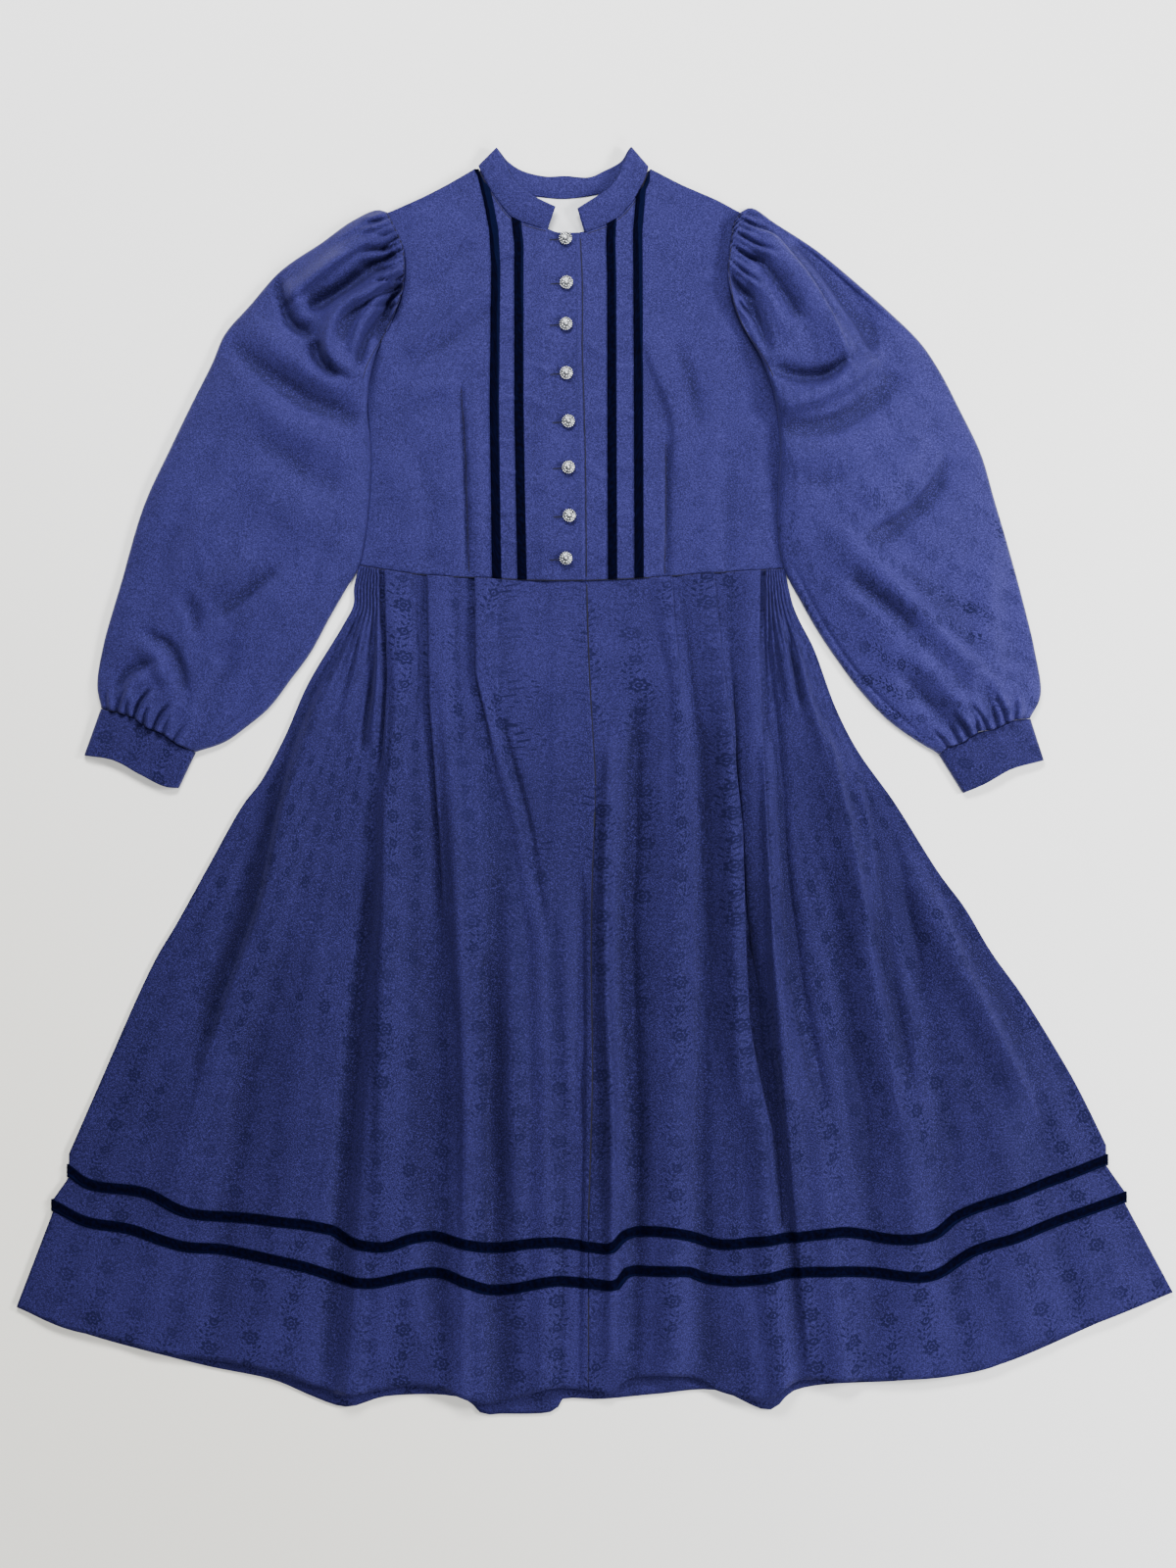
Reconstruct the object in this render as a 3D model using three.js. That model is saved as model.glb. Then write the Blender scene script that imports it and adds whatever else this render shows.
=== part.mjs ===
// A long-sleeved dirndl laid flat on its back: millimetres, +Z up from the surface it lies on,
// +Y towards the collar. Every cloth piece is a closed wall of its own, a seam's width apart.
import * as THREE from "three";

// ---------------------------------------------------------------- sizes
const CLOTH = 1.2; // thickness of every cloth wall
const SEAM = 0.4; // air between two pieces that are sewn together
const RIBBON = { width: 8.8, thickness: 1.0 };
const LINING_THICKNESS = 0.8;
const BUTTON = { radius: 6.7, dome: 3.6, rim: 1.2, shank: 2.0, shankRadius: 2.2, sides: 10 };
// The skirt's placket: how far one front tucks under the other, and where down the sheet the tuck
// and the step over it run out.
const PLACKET = { lap: 14, tuckEnds: [795, 830], stepRises: [-52, -38], stepEnds: [845, 880] };
const SHEET = { x: 606.75, y: 797.2 }; // middle of the dress on its layout sheet

const BACK_LEVEL = CLOTH / 2; // middle of the back panels' wall
const FRONT_LEVEL = BACK_LEVEL + CLOTH + SEAM; // middle of a front wall that lies on the back
const LAP_STEP = CLOTH + SEAM; // one more layer of cloth
const UNDER_RIBBON = RIBBON.thickness + SEAM; // lift of the back skirt over its own ribbons

// ---------------------------------------------------------------- helpers for the layout
// A row of a table is one point of the layout sheet: x to the right, y down, in millimetres.
const onSheet = ([x, y]) => new THREE.Vector3(x - SHEET.x, SHEET.y - y, 0);
const mix = (a, b, t) => a + (b - a) * t;
const ease = (from, to, value) => THREE.MathUtils.smoothstep(value, from, to);
const fadeOut = ([from, to], value) => 1 - ease(from, to, value);

// A smooth curve through each table in turn, called with 0..1 along the whole length.
function trace(...tables) {
  const curves = tables.map(
    (rows) => new THREE.CatmullRomCurve3(rows.map(onSheet), false, "centripetal"),
  );
  const lengths = curves.map((curve) => curve.getLength());
  const total = lengths.reduce((sum, length) => sum + length, 0);
  return (t) => {
    let at = THREE.MathUtils.clamp(t, 0, 1) * total;
    let k = 0;
    while (k < curves.length - 1 && at > lengths[k]) {
      at -= lengths[k];
      k += 1;
    }
    return curves[k].getPointAt(Math.min(1, at / lengths[k]));
  };
}
const flip = (rows) => [...rows].reverse();

const runOf = (curve, t) =>
  curve(Math.min(1, t + 0.004)).sub(curve(Math.max(0, t - 0.004))).normalize();

// The same curve moved sideways in the plane (to the left of its run when positive).
const beside = (curve, by) => (t) => {
  const run = runOf(curve, t);
  return curve(t).add(new THREE.Vector3(-run.y, run.x, 0).multiplyScalar(by));
};

// The same crosswise curve moved down the dress, by so much square to its run.
const below = (curve, by) => (t) => {
  const p = curve(t);
  p.y -= by / Math.max(0.7, Math.abs(runOf(curve, t).x));
  return p;
};

// A lengthwise line as x for a given y; its rows are [y, x] of the layout sheet.
const lengthwise = (rows) => (yFrame) => {
  const y = SHEET.y - yFrame;
  if (y <= rows[0][0]) return rows[0][1] - SHEET.x;
  const i = rows.findIndex((row) => row[0] >= y);
  if (i < 0) return rows.at(-1)[1] - SHEET.x;
  const [[y0, x0], [y1, x1]] = [rows[i - 1], rows[i]];
  return mix(x0, x1, (y - y0) / (y1 - y0)) - SHEET.x;
};
const shifted = (line, by) => (y) => line(y) + by;

// A patch between four edge curves; u runs across, v runs down. Top and bottom are met exactly,
// and the side curves are drawn to their ends.
function patchBetween(top, bottom, first, last) {
  const drawn = (curve, v, from, to) => {
    const p = curve(v).addScaledVector(from.sub(curve(0)), 1 - v);
    return p.addScaledVector(to.sub(curve(1)), v);
  };
  return (u, v) => {
    const p = top(u).multiplyScalar(1 - v).addScaledVector(bottom(u), v);
    p.addScaledVector(drawn(first, v, top(0), bottom(0)), 1 - u);
    p.addScaledVector(drawn(last, v, top(1), bottom(1)), u);
    p.addScaledVector(top(0), -(1 - u) * (1 - v)).addScaledVector(top(1), -u * (1 - v));
    return p.addScaledVector(bottom(0), -(1 - u) * v).addScaledVector(bottom(1), -u * v);
  };
}
const patchAcross = (top, bottom) => (u, v) => top(u).lerp(bottom(u), v);

// Where row v of a patch crosses a lengthwise line; side is +1 when x grows with u.
function crossing(patch, v, line, side) {
  let low = 0;
  let high = 1;
  for (let step = 0; step < 30; step += 1) {
    const middle = (low + high) / 2;
    const p = patch(middle, v);
    if (side * (p.x - line(p.y)) < 0) low = middle;
    else high = middle;
  }
  return (low + high) / 2;
}

// Values from 0 to 1 in equal steps, both ends counted.
const steps = (count) => Array.from({ length: count + 1 }, (_, i) => i / count);

// The u of every column of a row: the lines are met exactly, with even columns between them.
function columnsAcross(patch, v, lines, counts, side) {
  const knots = [0, ...lines.map((line) => crossing(patch, v, line, side)), 1];
  return counts.flatMap((count, k) =>
    steps(count).slice(k ? 1 : 0).map((t) => mix(knots[k], knots[k + 1], t)),
  );
}

// Height of soft folds at a point; rows are [x1, y1, x2, y2, width, height] on the layout sheet.
function softFolds(p, rows) {
  let height = 0;
  for (const [x1, y1, x2, y2, width, rise] of rows) {
    const a = onSheet([x1, y1]);
    const run = onSheet([x2, y2]).sub(a);
    const raw = (p.x - a.x) * run.x + (p.y - a.y) * run.y;
    const along = THREE.MathUtils.clamp(raw / run.lengthSq(), 0, 1);
    const off = Math.hypot(p.x - a.x - along * run.x, p.y - a.y - along * run.y);
    height += rise * Math.exp(-((off / width) ** 2));
  }
  return height;
}

// ---------------------------------------------------------------- helpers for the solids
// Unit normals of a grid of points, from its neighbours on either side.
function normalsOf(grid, closed) {
  const lastRow = grid.length - 1;
  return grid.map((row, j) =>
    row.map((_, i) => {
      const count = row.length;
      const next = closed ? (i + 1) % count : Math.min(count - 1, i + 1);
      const before = closed ? (i + count - 1) % count : Math.max(0, i - 1);
      const across = row[next].clone().sub(row[before]);
      const down = grid[Math.min(lastRow, j + 1)][i].clone().sub(grid[Math.max(0, j - 1)][i]);
      return down.cross(across).normalize();
    }),
  );
}

const liftedBy = (grid, normals, by) =>
  grid.map((row, j) => row.map((p, i) => p.clone().addScaledVector(normals[j][i], by)));

// A closed solid from two matching grids of points, the outer and the inner face of one wall.
function wallBetween(outer, inner, closed) {
  const rows = outer.length;
  const columns = outer[0].length;
  const vertices = [...outer.flat(), ...inner.flat()];
  const out = (j, i) => j * columns + (i % columns);
  const back = (j, i) => rows * columns + out(j, i);
  const faces = [];
  const quad = (a, b, c, d) => faces.push(a, b, c, a, c, d);
  const spans = closed ? columns : columns - 1;
  for (let j = 0; j < rows - 1; j += 1) {
    for (let i = 0; i < spans; i += 1) {
      quad(out(j, i), out(j + 1, i), out(j + 1, i + 1), out(j, i + 1));
      quad(back(j, i), back(j, i + 1), back(j + 1, i + 1), back(j + 1, i));
    }
  }
  for (let i = 0; i < spans; i += 1) {
    quad(out(0, i), out(0, i + 1), back(0, i + 1), back(0, i));
    quad(out(rows - 1, i), back(rows - 1, i), back(rows - 1, i + 1), out(rows - 1, i + 1));
  }
  for (let j = 0; j < rows - 1 && !closed; j += 1) {
    const end = columns - 1;
    quad(out(j, 0), back(j, 0), back(j + 1, 0), out(j + 1, 0));
    quad(out(j, end), out(j + 1, end), back(j + 1, end), back(j, end));
  }
  const geometry = new THREE.BufferGeometry().setFromPoints(vertices);
  geometry.setIndex(faces);
  return geometry;
}

// A wall of the given thickness, half of it on either side of the grid. Columns run to the right
// and rows down the dress, or the grid is turned first, so that the outer face looks out.
function wall(grid, thickness, closed = false) {
  const normals = normalsOf(grid, closed);
  const outer = liftedBy(grid, normals, thickness / 2);
  const inner = liftedBy(grid, normals, -thickness / 2);
  const geometry = wallBetween(outer, inner, closed);
  geometry.computeVertexNormals();
  return geometry;
}

const turned = (grid) => grid.map((row) => [...row].reverse());

// ---------------------------------------------------------------- colours
const cloth = { color: 0x3f4b8c, roughness: 0.85, metalness: 0 };
const velvet = { color: 0x03061f, roughness: 0.95, metalness: 0 };
const lining = { color: 0xdfe1e6, roughness: 0.8, metalness: 0 };
const silver = { color: 0xb8c0c6, roughness: 0.35, metalness: 1 };

const dress = new THREE.Group();
dress.name = "dirndl";

function add(name, geometry, look) {
  const mesh = new THREE.Mesh(geometry, new THREE.MeshStandardMaterial(look));
  mesh.name = name;
  mesh.material.name = name;
  dress.add(mesh);
}

// ---------------------------------------------------------------- edges shared by the pieces
// Waist seam from the front edge out to the side, for each half.
const WAIST_RIGHT = [
  [597, 592.5], [550, 592.3], [502, 590.3], [436, 587], [392, 581.5], [366.5, 577],
];
const WAIST_LEFT = [[597, 592.5], [655, 590], [705, 586.5], [746, 583.5], [800.5, 580.5]];
const ARMHOLE_RIGHT = [
  [394.5, 218], [404, 237], [411, 253], [413, 271], [412, 288], [408, 307], [400, 326],
  [389, 348], [376, 376], [371.5, 391],
];
const ARMHOLE_LEFT = [
  [756, 218], [749, 230], [746, 248], [744.5, 263], [743, 276], [747, 306], [756, 331],
  [771, 356], [781, 372], [789, 389],
];
const SIDE_RIGHT = [
  [371.5, 391], [374, 421], [377, 455], [377, 488], [375, 521], [371, 554], [366.5, 577],
];
const SIDE_LEFT = [
  [789, 389], [796, 430], [798, 463], [796, 496], [795, 529], [797, 562], [800.5, 580.5],
];
const SHOULDER_RIGHT = [[487, 172.5], [454, 191], [419, 208], [394.5, 218]];
const SHOULDER_LEFT = [[663, 173.5], [696, 190], [731, 205], [756, 218]];
const NECK_RIGHT = [[591, 239], [559.5, 238], [531, 230], [520, 224], [499, 195], [487, 172.5]];
const NECK_LEFT = [
  [562, 240], [598, 240.5], [619, 233], [632, 225], [648, 207], [658, 189], [663, 173.5],
];
const FRONT_EDGE_RIGHT = [[591, 239], [593, 294], [593, 357], [596, 470], [597, 592.5]];
const FRONT_EDGE_LEFT = [[562, 240], [564, 357], [565, 592.5]];

// ---------------------------------------------------------------- bodice fronts with their ribbons
// Each half runs from its front edge (u = 0) to armhole and side (u = 1), neck down to waist.
// The grid meets every ribbon at both edges and the middle, so the ribbon is made from its points.
const RIBBON_LINES = {
  right_outer: [
    [175, 489], [180, 492], [204, 498], [235, 504], [270, 506], [415, 504.5], [592, 507],
  ],
  right_inner: [[227, 527], [250, 529.5], [415, 529.7], [498, 531], [594, 533]],
  left_inner: [[229, 624], [247, 623], [281, 624], [484, 624.5], [594, 625]],
  left_outer: [[186, 658], [195, 654], [237, 650.5], [339, 651], [592, 652]],
};
// Soft dents and swells of the fronts: [x1, y1, x2, y2, width, height].
const BODICE_FOLDS = [
  [440, 330, 500, 300, 12, 1.2],
  [425, 365, 470, 350, 12, -0.8],
  [430, 400, 470, 395, 14, 1.0],
  [478, 400, 476, 585, 7, -0.9],
  [678, 455, 679, 588, 7, -0.9],
  [665, 370, 690, 450, 14, 1.4],
  [700, 300, 735, 420, 16, 0.9],
  [570, 300, 573, 560, 12, 0.5],
  [400, 470, 405, 560, 14, 0.9],
  [770, 470, 768, 560, 14, 0.9],
];
const BODICE_ROWS = 15;
const SWELL = { front: 3.4, side: 1.2 }; // how far the fronts stand off the back

function bodiceLift(p, u, lapped) {
  const swell = SWELL.front * (1 - ease(0.55, 1, u)) + SWELL.side * ease(0, 0.12, 1 - u);
  return FRONT_LEVEL + swell + lapped + softFolds(p, BODICE_FOLDS);
}

function bodiceFront({ edges, lines, counts, side, lap }) {
  const grid = steps(BODICE_ROWS).map((v) =>
    columnsAcross(edges, v, lines, counts, side).map((u) => {
      const p = edges(u, v);
      p.z = bodiceLift(p, u, lap(p.x));
      return p;
    }),
  );
  return side > 0 ? grid : turned(grid);
}

const ribbonGuides = (rows) =>
  [-1, 0, 1].map((k) => shifted(lengthwise(rows), (k * RIBBON.width) / 2));

const upperFront = bodiceFront({
  edges: patchBetween(
    trace(NECK_RIGHT, SHOULDER_RIGHT),
    below(trace(WAIST_RIGHT), -SEAM / 2),
    trace(FRONT_EDGE_RIGHT),
    trace(ARMHOLE_RIGHT, SIDE_RIGHT),
  ),
  lines: [
    ...ribbonGuides(RIBBON_LINES.right_inner).reverse(),
    ...ribbonGuides(RIBBON_LINES.right_outer).reverse(),
  ],
  counts: [3, 1, 1, 1, 1, 1, 6],
  side: -1,
  lap: (x) => LAP_STEP * ease(-65, -48, x),
});
const lowerFront = bodiceFront({
  edges: patchBetween(
    trace(NECK_LEFT, SHOULDER_LEFT),
    below(trace([[565, 592.5], [597, 592.5]], WAIST_LEFT), -SEAM / 2),
    trace(FRONT_EDGE_LEFT),
    trace(ARMHOLE_LEFT, SIDE_LEFT),
  ),
  lines: [...ribbonGuides(RIBBON_LINES.left_inner), ...ribbonGuides(RIBBON_LINES.left_outer)],
  counts: [3, 1, 1, 1, 1, 1, 6],
  side: 1,
  lap: () => 0,
});
add("bodice_front_right", wall(upperFront, CLOTH), cloth);
add("bodice_front_left", wall(lowerFront, CLOTH), cloth);

// A strip of a panel's own grid, moved out so that it lies on the panel.
function stripOn(grid, columns, rows, thickness) {
  const normals = normalsOf(grid, false);
  const pick = (table) => table.slice(...rows).map((row) => columns.map((i) => row[i]));
  const base = pick(grid);
  const out = pick(normals);
  const clear = CLOTH / 2 + SEAM;
  return wallBetween(liftedBy(base, out, clear + thickness), liftedBy(base, out, clear), false);
}

const columnsOfUpper = upperFront[0].length - 1;
const RIBBON_COLUMNS = {
  ribbon_right_inner: [upperFront, [5, 4, 3].map((i) => columnsOfUpper - i)],
  ribbon_right_outer: [upperFront, [8, 7, 6].map((i) => columnsOfUpper - i)],
  ribbon_left_inner: [lowerFront, [3, 4, 5]],
  ribbon_left_outer: [lowerFront, [6, 7, 8]],
};
for (const [name, [grid, columns]] of Object.entries(RIBBON_COLUMNS)) {
  add(name, stripOn(grid, columns, [0, BODICE_ROWS + 1], RIBBON.thickness), velvet);
}

// ---------------------------------------------------------------- bodice back and its lining
const NECK_BACK = [
  [487, 172.5], [500, 187], [533.5, 198], [577, 203.5], [625, 195], [650, 187], [663, 173.5],
];
const BACK_INSET = 3; // the back stays this far inside the fronts at armhole and side
const backWaist = trace(flip(WAIST_RIGHT), WAIST_LEFT);
const backOutline = patchBetween(
  trace(flip(SHOULDER_RIGHT), NECK_BACK, SHOULDER_LEFT),
  below(backWaist, -SEAM),
  trace(ARMHOLE_RIGHT, SIDE_RIGHT),
  trace(ARMHOLE_LEFT, SIDE_LEFT),
);
const backPatch = (u, v) => {
  const p = backOutline(u, v);
  return p.setX(p.x + BACK_INSET * (1 - 2 * u));
};
const atLevel = (level) => (p) => p.setZ(level);
const flatGrid = (patch, rows, columns, level) =>
  steps(rows).map((v) => steps(columns).map((u) => atLevel(level)(patch(u, v))));
add("bodice_back", wall(flatGrid(backPatch, BODICE_ROWS, 10, BACK_LEVEL), CLOTH), cloth);

// The lining of the back shows inside the neck, so it is made there and a little under the fronts.
const LINING = {
  top: [[541, 205.5], [577, 207], [617, 203]],
  bottom: [[552, 262], [580, 263], [606, 262]],
};
const liningPatch = patchAcross(trace(LINING.top), trace(LINING.bottom));
const LINING_LEVEL = CLOTH + SEAM + LINING_THICKNESS / 2;
add("back_lining", wall(flatGrid(liningPatch, 3, 6, LINING_LEVEL), LINING_THICKNESS), lining);

// ---------------------------------------------------------------- collar
// One standing band from front edge to front edge: rows are stations round the neck, each with the
// sewn edge and the free edge as [x, y, height].
const COLLAR = [
  { sewn: [558.5, 237, 7.6], free: [567, 213, 11.5] },
  { sewn: [545, 232.5, 7.4], free: [552, 206, 12] },
  { sewn: [530.5, 228, 7.2], free: [541, 200, 12] },
  { sewn: [520, 222, 7.0], free: [531, 193, 12] },
  { sewn: [508, 207, 6.8], free: [522, 182, 12] },
  { sewn: [498, 192, 6.6], free: [515, 167, 11.5] },
  { sewn: [488.5, 172, 6.0], free: [507.5, 153.5, 10] },
  { sewn: [493.5, 174, 3.0], free: [510.5, 156, 4.6] },
  { sewn: [507, 185.5, 1.6], free: [519, 166, 2.6] },
  { sewn: [533.5, 196.4, 1.2], free: [534, 175.5, 3.0] },
  { sewn: [556, 200.5, 1.2], free: [557, 181, 3.4] },
  { sewn: [577, 201.8, 1.2], free: [578, 180.5, 3.6] },
  { sewn: [601, 198, 1.2], free: [600, 182, 3.4] },
  { sewn: [625, 193.2, 1.2], free: [615, 176, 3.0] },
  { sewn: [645, 185.5, 1.6], free: [633, 166, 2.6] },
  { sewn: [656.5, 175, 3.0], free: [640.5, 155, 4.6] },
  { sewn: [661.5, 172.5, 6.0], free: [643.5, 152.5, 10] },
  { sewn: [656.5, 188, 6.4], free: [639, 163, 11.2] },
  { sewn: [647, 205.5, 6.6], free: [632, 179, 11.6] },
  { sewn: [631, 223.5, 6.8], free: [624, 192, 12] },
  { sewn: [618.5, 231.5, 6.8], free: [611, 201, 12] },
  { sewn: [599, 238.8, 6.8], free: [590, 215, 11.5] },
];
const COLLAR_SEAM = 0.03; // share of the band's height that is left clear at the neck seam
const raised = ([x, y, z]) => onSheet([x, y]).setZ(z);
const collarGrid = steps(3).map((t) =>
  COLLAR.map(({ sewn, free }) => raised(sewn).lerp(raised(free), mix(COLLAR_SEAM, 1, t))),
);
add("collar", wall(turned(collarGrid), CLOTH), cloth);

// ---------------------------------------------------------------- sleeves
// A flattened tube: rings from the armhole (v = 0) to the cuff seam (v = 1). Each ring goes over the
// top from the outer to the inner edge and comes back under, flat on the surface.
const SLEEVE_RIGHT = {
  head: ARMHOLE_RIGHT,
  outer: [
    [393.4, 216.6], [384, 214], [357, 226], [328, 247], [286, 276], [254, 312], [229, 341],
    [216, 371], [195, 413], [174, 457], [147, 516], [124, 595], [106, 659], [100, 700],
    [104.5, 723],
  ],
  inner: [
    [369, 392], [371, 425], [374, 455], [374, 500], [368, 554], [363, 579], [351, 602], [335, 630],
    [315, 667], [296, 693], [274, 722], [253, 740], [229, 757], [200, 767],
  ],
  wrist: [[104.5, 723], [121, 727], [139, 733], [151, 742], [168, 749], [182, 759], [200, 767]],
  folds: [
    [405, 262, 350, 300, 9, 3.5],
    [393, 238, 332, 276, 9, -3.5],
    [403, 222, 330, 252, 9, 3.0],
    [411, 284, 388, 345, 10, -4.0],
    [395, 300, 360, 350, 10, 3.5],
    [254, 327, 311, 379, 14, 4.5],
    [237, 341, 332, 409, 15, -5.5],
    [290, 290, 306, 338, 12, -3.5],
    [300, 440, 350, 480, 22, 4.0],
    [274, 587, 223, 630, 16, -5.0],
    [300, 590, 250, 650, 18, 4.0],
    [151, 646, 188, 687, 12, -4.0],
    [158, 677, 122, 705, 10, 3.5],
    [190, 560, 160, 620, 20, 3.5],
  ],
};
const SLEEVE_LEFT = {
  head: ARMHOLE_LEFT,
  outer: [
    [757.6, 216.6], [768, 212], [793, 228], [834, 255], [873, 287], [910, 320], [940, 350],
    [960, 380], [979, 417], [1001, 463], [1014, 508], [1029, 560], [1043, 612], [1055, 663],
    [1061, 710], [1050, 733],
  ],
  inner: [
    [791.6, 390.4], [799, 430], [801, 463], [799, 496], [798.5, 540], [804, 581], [821, 618],
    [837, 646], [855, 673], [878, 704], [906, 734], [933, 754], [958, 769],
  ],
  wrist: [
    [1050, 733], [1033, 735], [1011, 744.5], [998, 746.5], [980, 758], [966, 763], [958, 769],
  ],
  folds: [
    [760, 240, 830, 300, 9, 4.5],
    [785, 240, 875, 318, 9, -4.0],
    [775, 222, 850, 280, 10, 3.0],
    [836, 311, 862, 372, 10, 4.0],
    [802, 415, 901, 357, 12, 5.0],
    [802, 434, 898, 398, 12, -5.0],
    [750, 270, 800, 340, 10, -3.5],
    [958, 474, 912, 532, 16, -4.5],
    [930, 440, 880, 510, 18, 3.5],
    [868, 553, 1015, 704, 15, 4.5],
    [878, 606, 923, 634, 14, -5.0],
    [923, 693, 980, 753, 12, -4.0],
    [1010, 640, 1035, 700, 14, 3.0],
  ],
};
const SLEEVE_RINGS = 16;
const RING_TOP = 11; // spans over the top of a ring
const RING_UNDER = 9; // spans along its flat underside
const ARMHOLE_CLEAR = 1.1; // the seam curve is cut to straight facets on both of its sides
const EDGE_HEIGHT = 4.4; // height of the folded edge of a laid tube
const FULLNESS = { head: 9, arm: 24, wristShare: 0.5 }; // height of a sleeve above its folded edges

// Plan position across a tube, 0..1, for a place on its ring; the turns at the edges are round.
const overTop = steps(RING_TOP).map((t) => (1 - Math.cos(Math.PI * t)) / 2);
const backUnder = steps(RING_UNDER).slice(1, -1).map((t) => (1 + Math.cos(Math.PI * t)) / 2);

function tubeRing(patch, v, heightAt) {
  const width = patch(0, v).distanceTo(patch(1, v));
  const turn = Math.min(0.2, EDGE_HEIGHT / 2 / width);
  const rounded = (u) => {
    const inward = THREE.MathUtils.clamp(Math.min(u, 1 - u) / turn, 0, 1);
    return Math.sqrt(1 - (1 - inward) ** 2);
  };
  const top = overTop.map((u) => {
    const p = patch(u, v);
    return p.setZ(mix(EDGE_HEIGHT / 2, heightAt(p, u, v), rounded(u)));
  });
  const under = backUnder.map((u) => {
    const p = patch(u, v);
    return p.setZ(mix(EDGE_HEIGHT / 2, BACK_LEVEL, rounded(u)));
  });
  return [...top, ...under];
}

function sleeve({ head, outer, inner, wrist, folds }, side) {
  const seam = beside(trace(head), side * ARMHOLE_CLEAR);
  const cuffSeam = trace(wrist);
  const patch = patchBetween(seam, cuffSeam, trace(outer), trace(inner));
  const heightAt = (p, u, v) => {
    const puffed = mix(FULLNESS.head, FULLNESS.arm, ease(0, 0.14, v));
    const full = puffed * mix(1, FULLNESS.wristShare, ease(0.5, 1, v));
    const arch = (4 * u * (1 - u)) ** 0.7;
    return Math.max(FRONT_LEVEL + SEAM, EDGE_HEIGHT + (full + softFolds(p, folds)) * arch);
  };
  const grid = steps(SLEEVE_RINGS).map((v) => tubeRing(patch, v, heightAt));
  return wall(side > 0 ? turned(grid) : grid, CLOTH, true);
}
add("sleeve_right", sleeve(SLEEVE_RIGHT, -1), cloth);
add("sleeve_left", sleeve(SLEEVE_LEFT, 1), cloth);

// ---------------------------------------------------------------- cuffs
const CUFF_RIGHT = {
  seam: [
    [103.9, 723.7], [121, 727.7], [139, 733.7], [151, 742.7], [168, 749.7], [182, 759.8],
    [199.4, 767.6],
  ],
  edge: [[87, 771], [117, 776], [145, 791], [170, 803], [182, 804]],
};
const CUFF_LEFT = {
  seam: [
    [1050.4, 733.7], [1033, 735.7], [1011, 745.2], [998, 747.2], [980, 758.7], [966, 763.8],
    [958.4, 769.7],
  ],
  edge: [[1064, 776], [1031, 785], [1004, 800], [983, 809]],
};
const CUFF_FULLNESS = { seam: 6, edge: 3.4 };
function cuff({ seam, edge }, side) {
  const patch = patchAcross(trace(seam), trace(edge));
  const heightAt = (p, u, v) =>
    EDGE_HEIGHT + mix(CUFF_FULLNESS.seam, CUFF_FULLNESS.edge, v) * (4 * u * (1 - u)) ** 0.5;
  const grid = steps(3).map((v) => tubeRing(patch, v, heightAt));
  return wall(side > 0 ? turned(grid) : grid, CLOTH, true);
}
add("cuff_right", cuff(CUFF_RIGHT, -1), cloth);
add("cuff_left", cuff(CUFF_LEFT, 1), cloth);

// ---------------------------------------------------------------- skirt
const SKIRT_SIDE_RIGHT = [
  [366.5, 577.4], [361.5, 600], [361, 618], [350, 640], [315, 700], [292, 754], [268, 800],
  [250, 824], [217, 884], [183, 947], [160, 987], [102, 1120], [75, 1184],
];
const SKIRT_SIDE_LEFT = [
  [800.5, 580.9], [808, 616], [815, 634], [829, 662], [852, 726], [874, 770], [910, 822],
  [956, 897], [982, 933], [1008, 978], [1040, 1024], [1079, 1089], [1096, 1120], [1124, 1179],
];
const CENTRE_FRONT = [
  [597, 592.9], [601, 690], [607, 804], [604, 901], [603, 987], [604, 1102], [600, 1260],
];
// Hem ribbons, from the centre front out to the side: middle of each ribbon.
const HEM_RIBBON_RIGHT = {
  upper: [
    [600, 1271], [561, 1266], [534, 1268], [502, 1272], [470, 1266], [445, 1260], [421, 1262],
    [394, 1270], [362, 1266], [335, 1253], [268, 1243], [193, 1236], [150, 1216], [91, 1207],
    [71, 1194],
  ],
  lower: [
    [600, 1308], [561, 1306], [534, 1311], [502, 1315], [478, 1307], [454, 1298], [427, 1298],
    [380, 1307], [348, 1303], [308, 1290], [228, 1274], [187, 1270], [134, 1253], [88, 1245],
    [55, 1229],
  ],
};
const HEM_RIBBON_LEFT = {
  upper: [
    [600, 1271], [622, 1272], [641, 1258], [681, 1255], [735, 1268], [770, 1265], [815, 1260],
    [860, 1256], [914, 1263], [951, 1259], [981, 1238], [1034, 1218], [1088, 1198], [1128, 1183],
  ],
  lower: [
    [600, 1308], [628, 1309], [641, 1297], [668, 1295], [700, 1296], [721, 1303], [756, 1305],
    [820, 1296], [887, 1297], [951, 1300], [994, 1275], [1034, 1262], [1075, 1246], [1147, 1221],
  ],
};
const HEM_RIGHT = [
  [600, 1417], [561, 1416], [520, 1428], [493, 1431], [454, 1417], [420, 1412], [375, 1419],
  [348, 1421], [320, 1412], [268, 1395], [206, 1385], [161, 1379], [120, 1366], [70, 1355],
  [17.5, 1333],
];
const HEM_LEFT = [
  [600, 1417], [622, 1421], [641, 1406], [705, 1404], [733, 1418], [783, 1426], [811, 1408],
  [874, 1407], [933, 1406], [967, 1403], [1013, 1393], [1048, 1376], [1128, 1345], [1196, 1318],
];
const HEM_BACK = [
  [17.5, 1333], [80, 1358], [206, 1392], [281, 1408], [321, 1425], [354, 1435], [395, 1424],
  [475, 1427], [499, 1443], [570, 1438], [614, 1429], [668, 1422], [731, 1418], [786, 1438],
  [811, 1418], [933, 1407], [1013, 1394], [1128, 1346], [1196, 1318],
];

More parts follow.
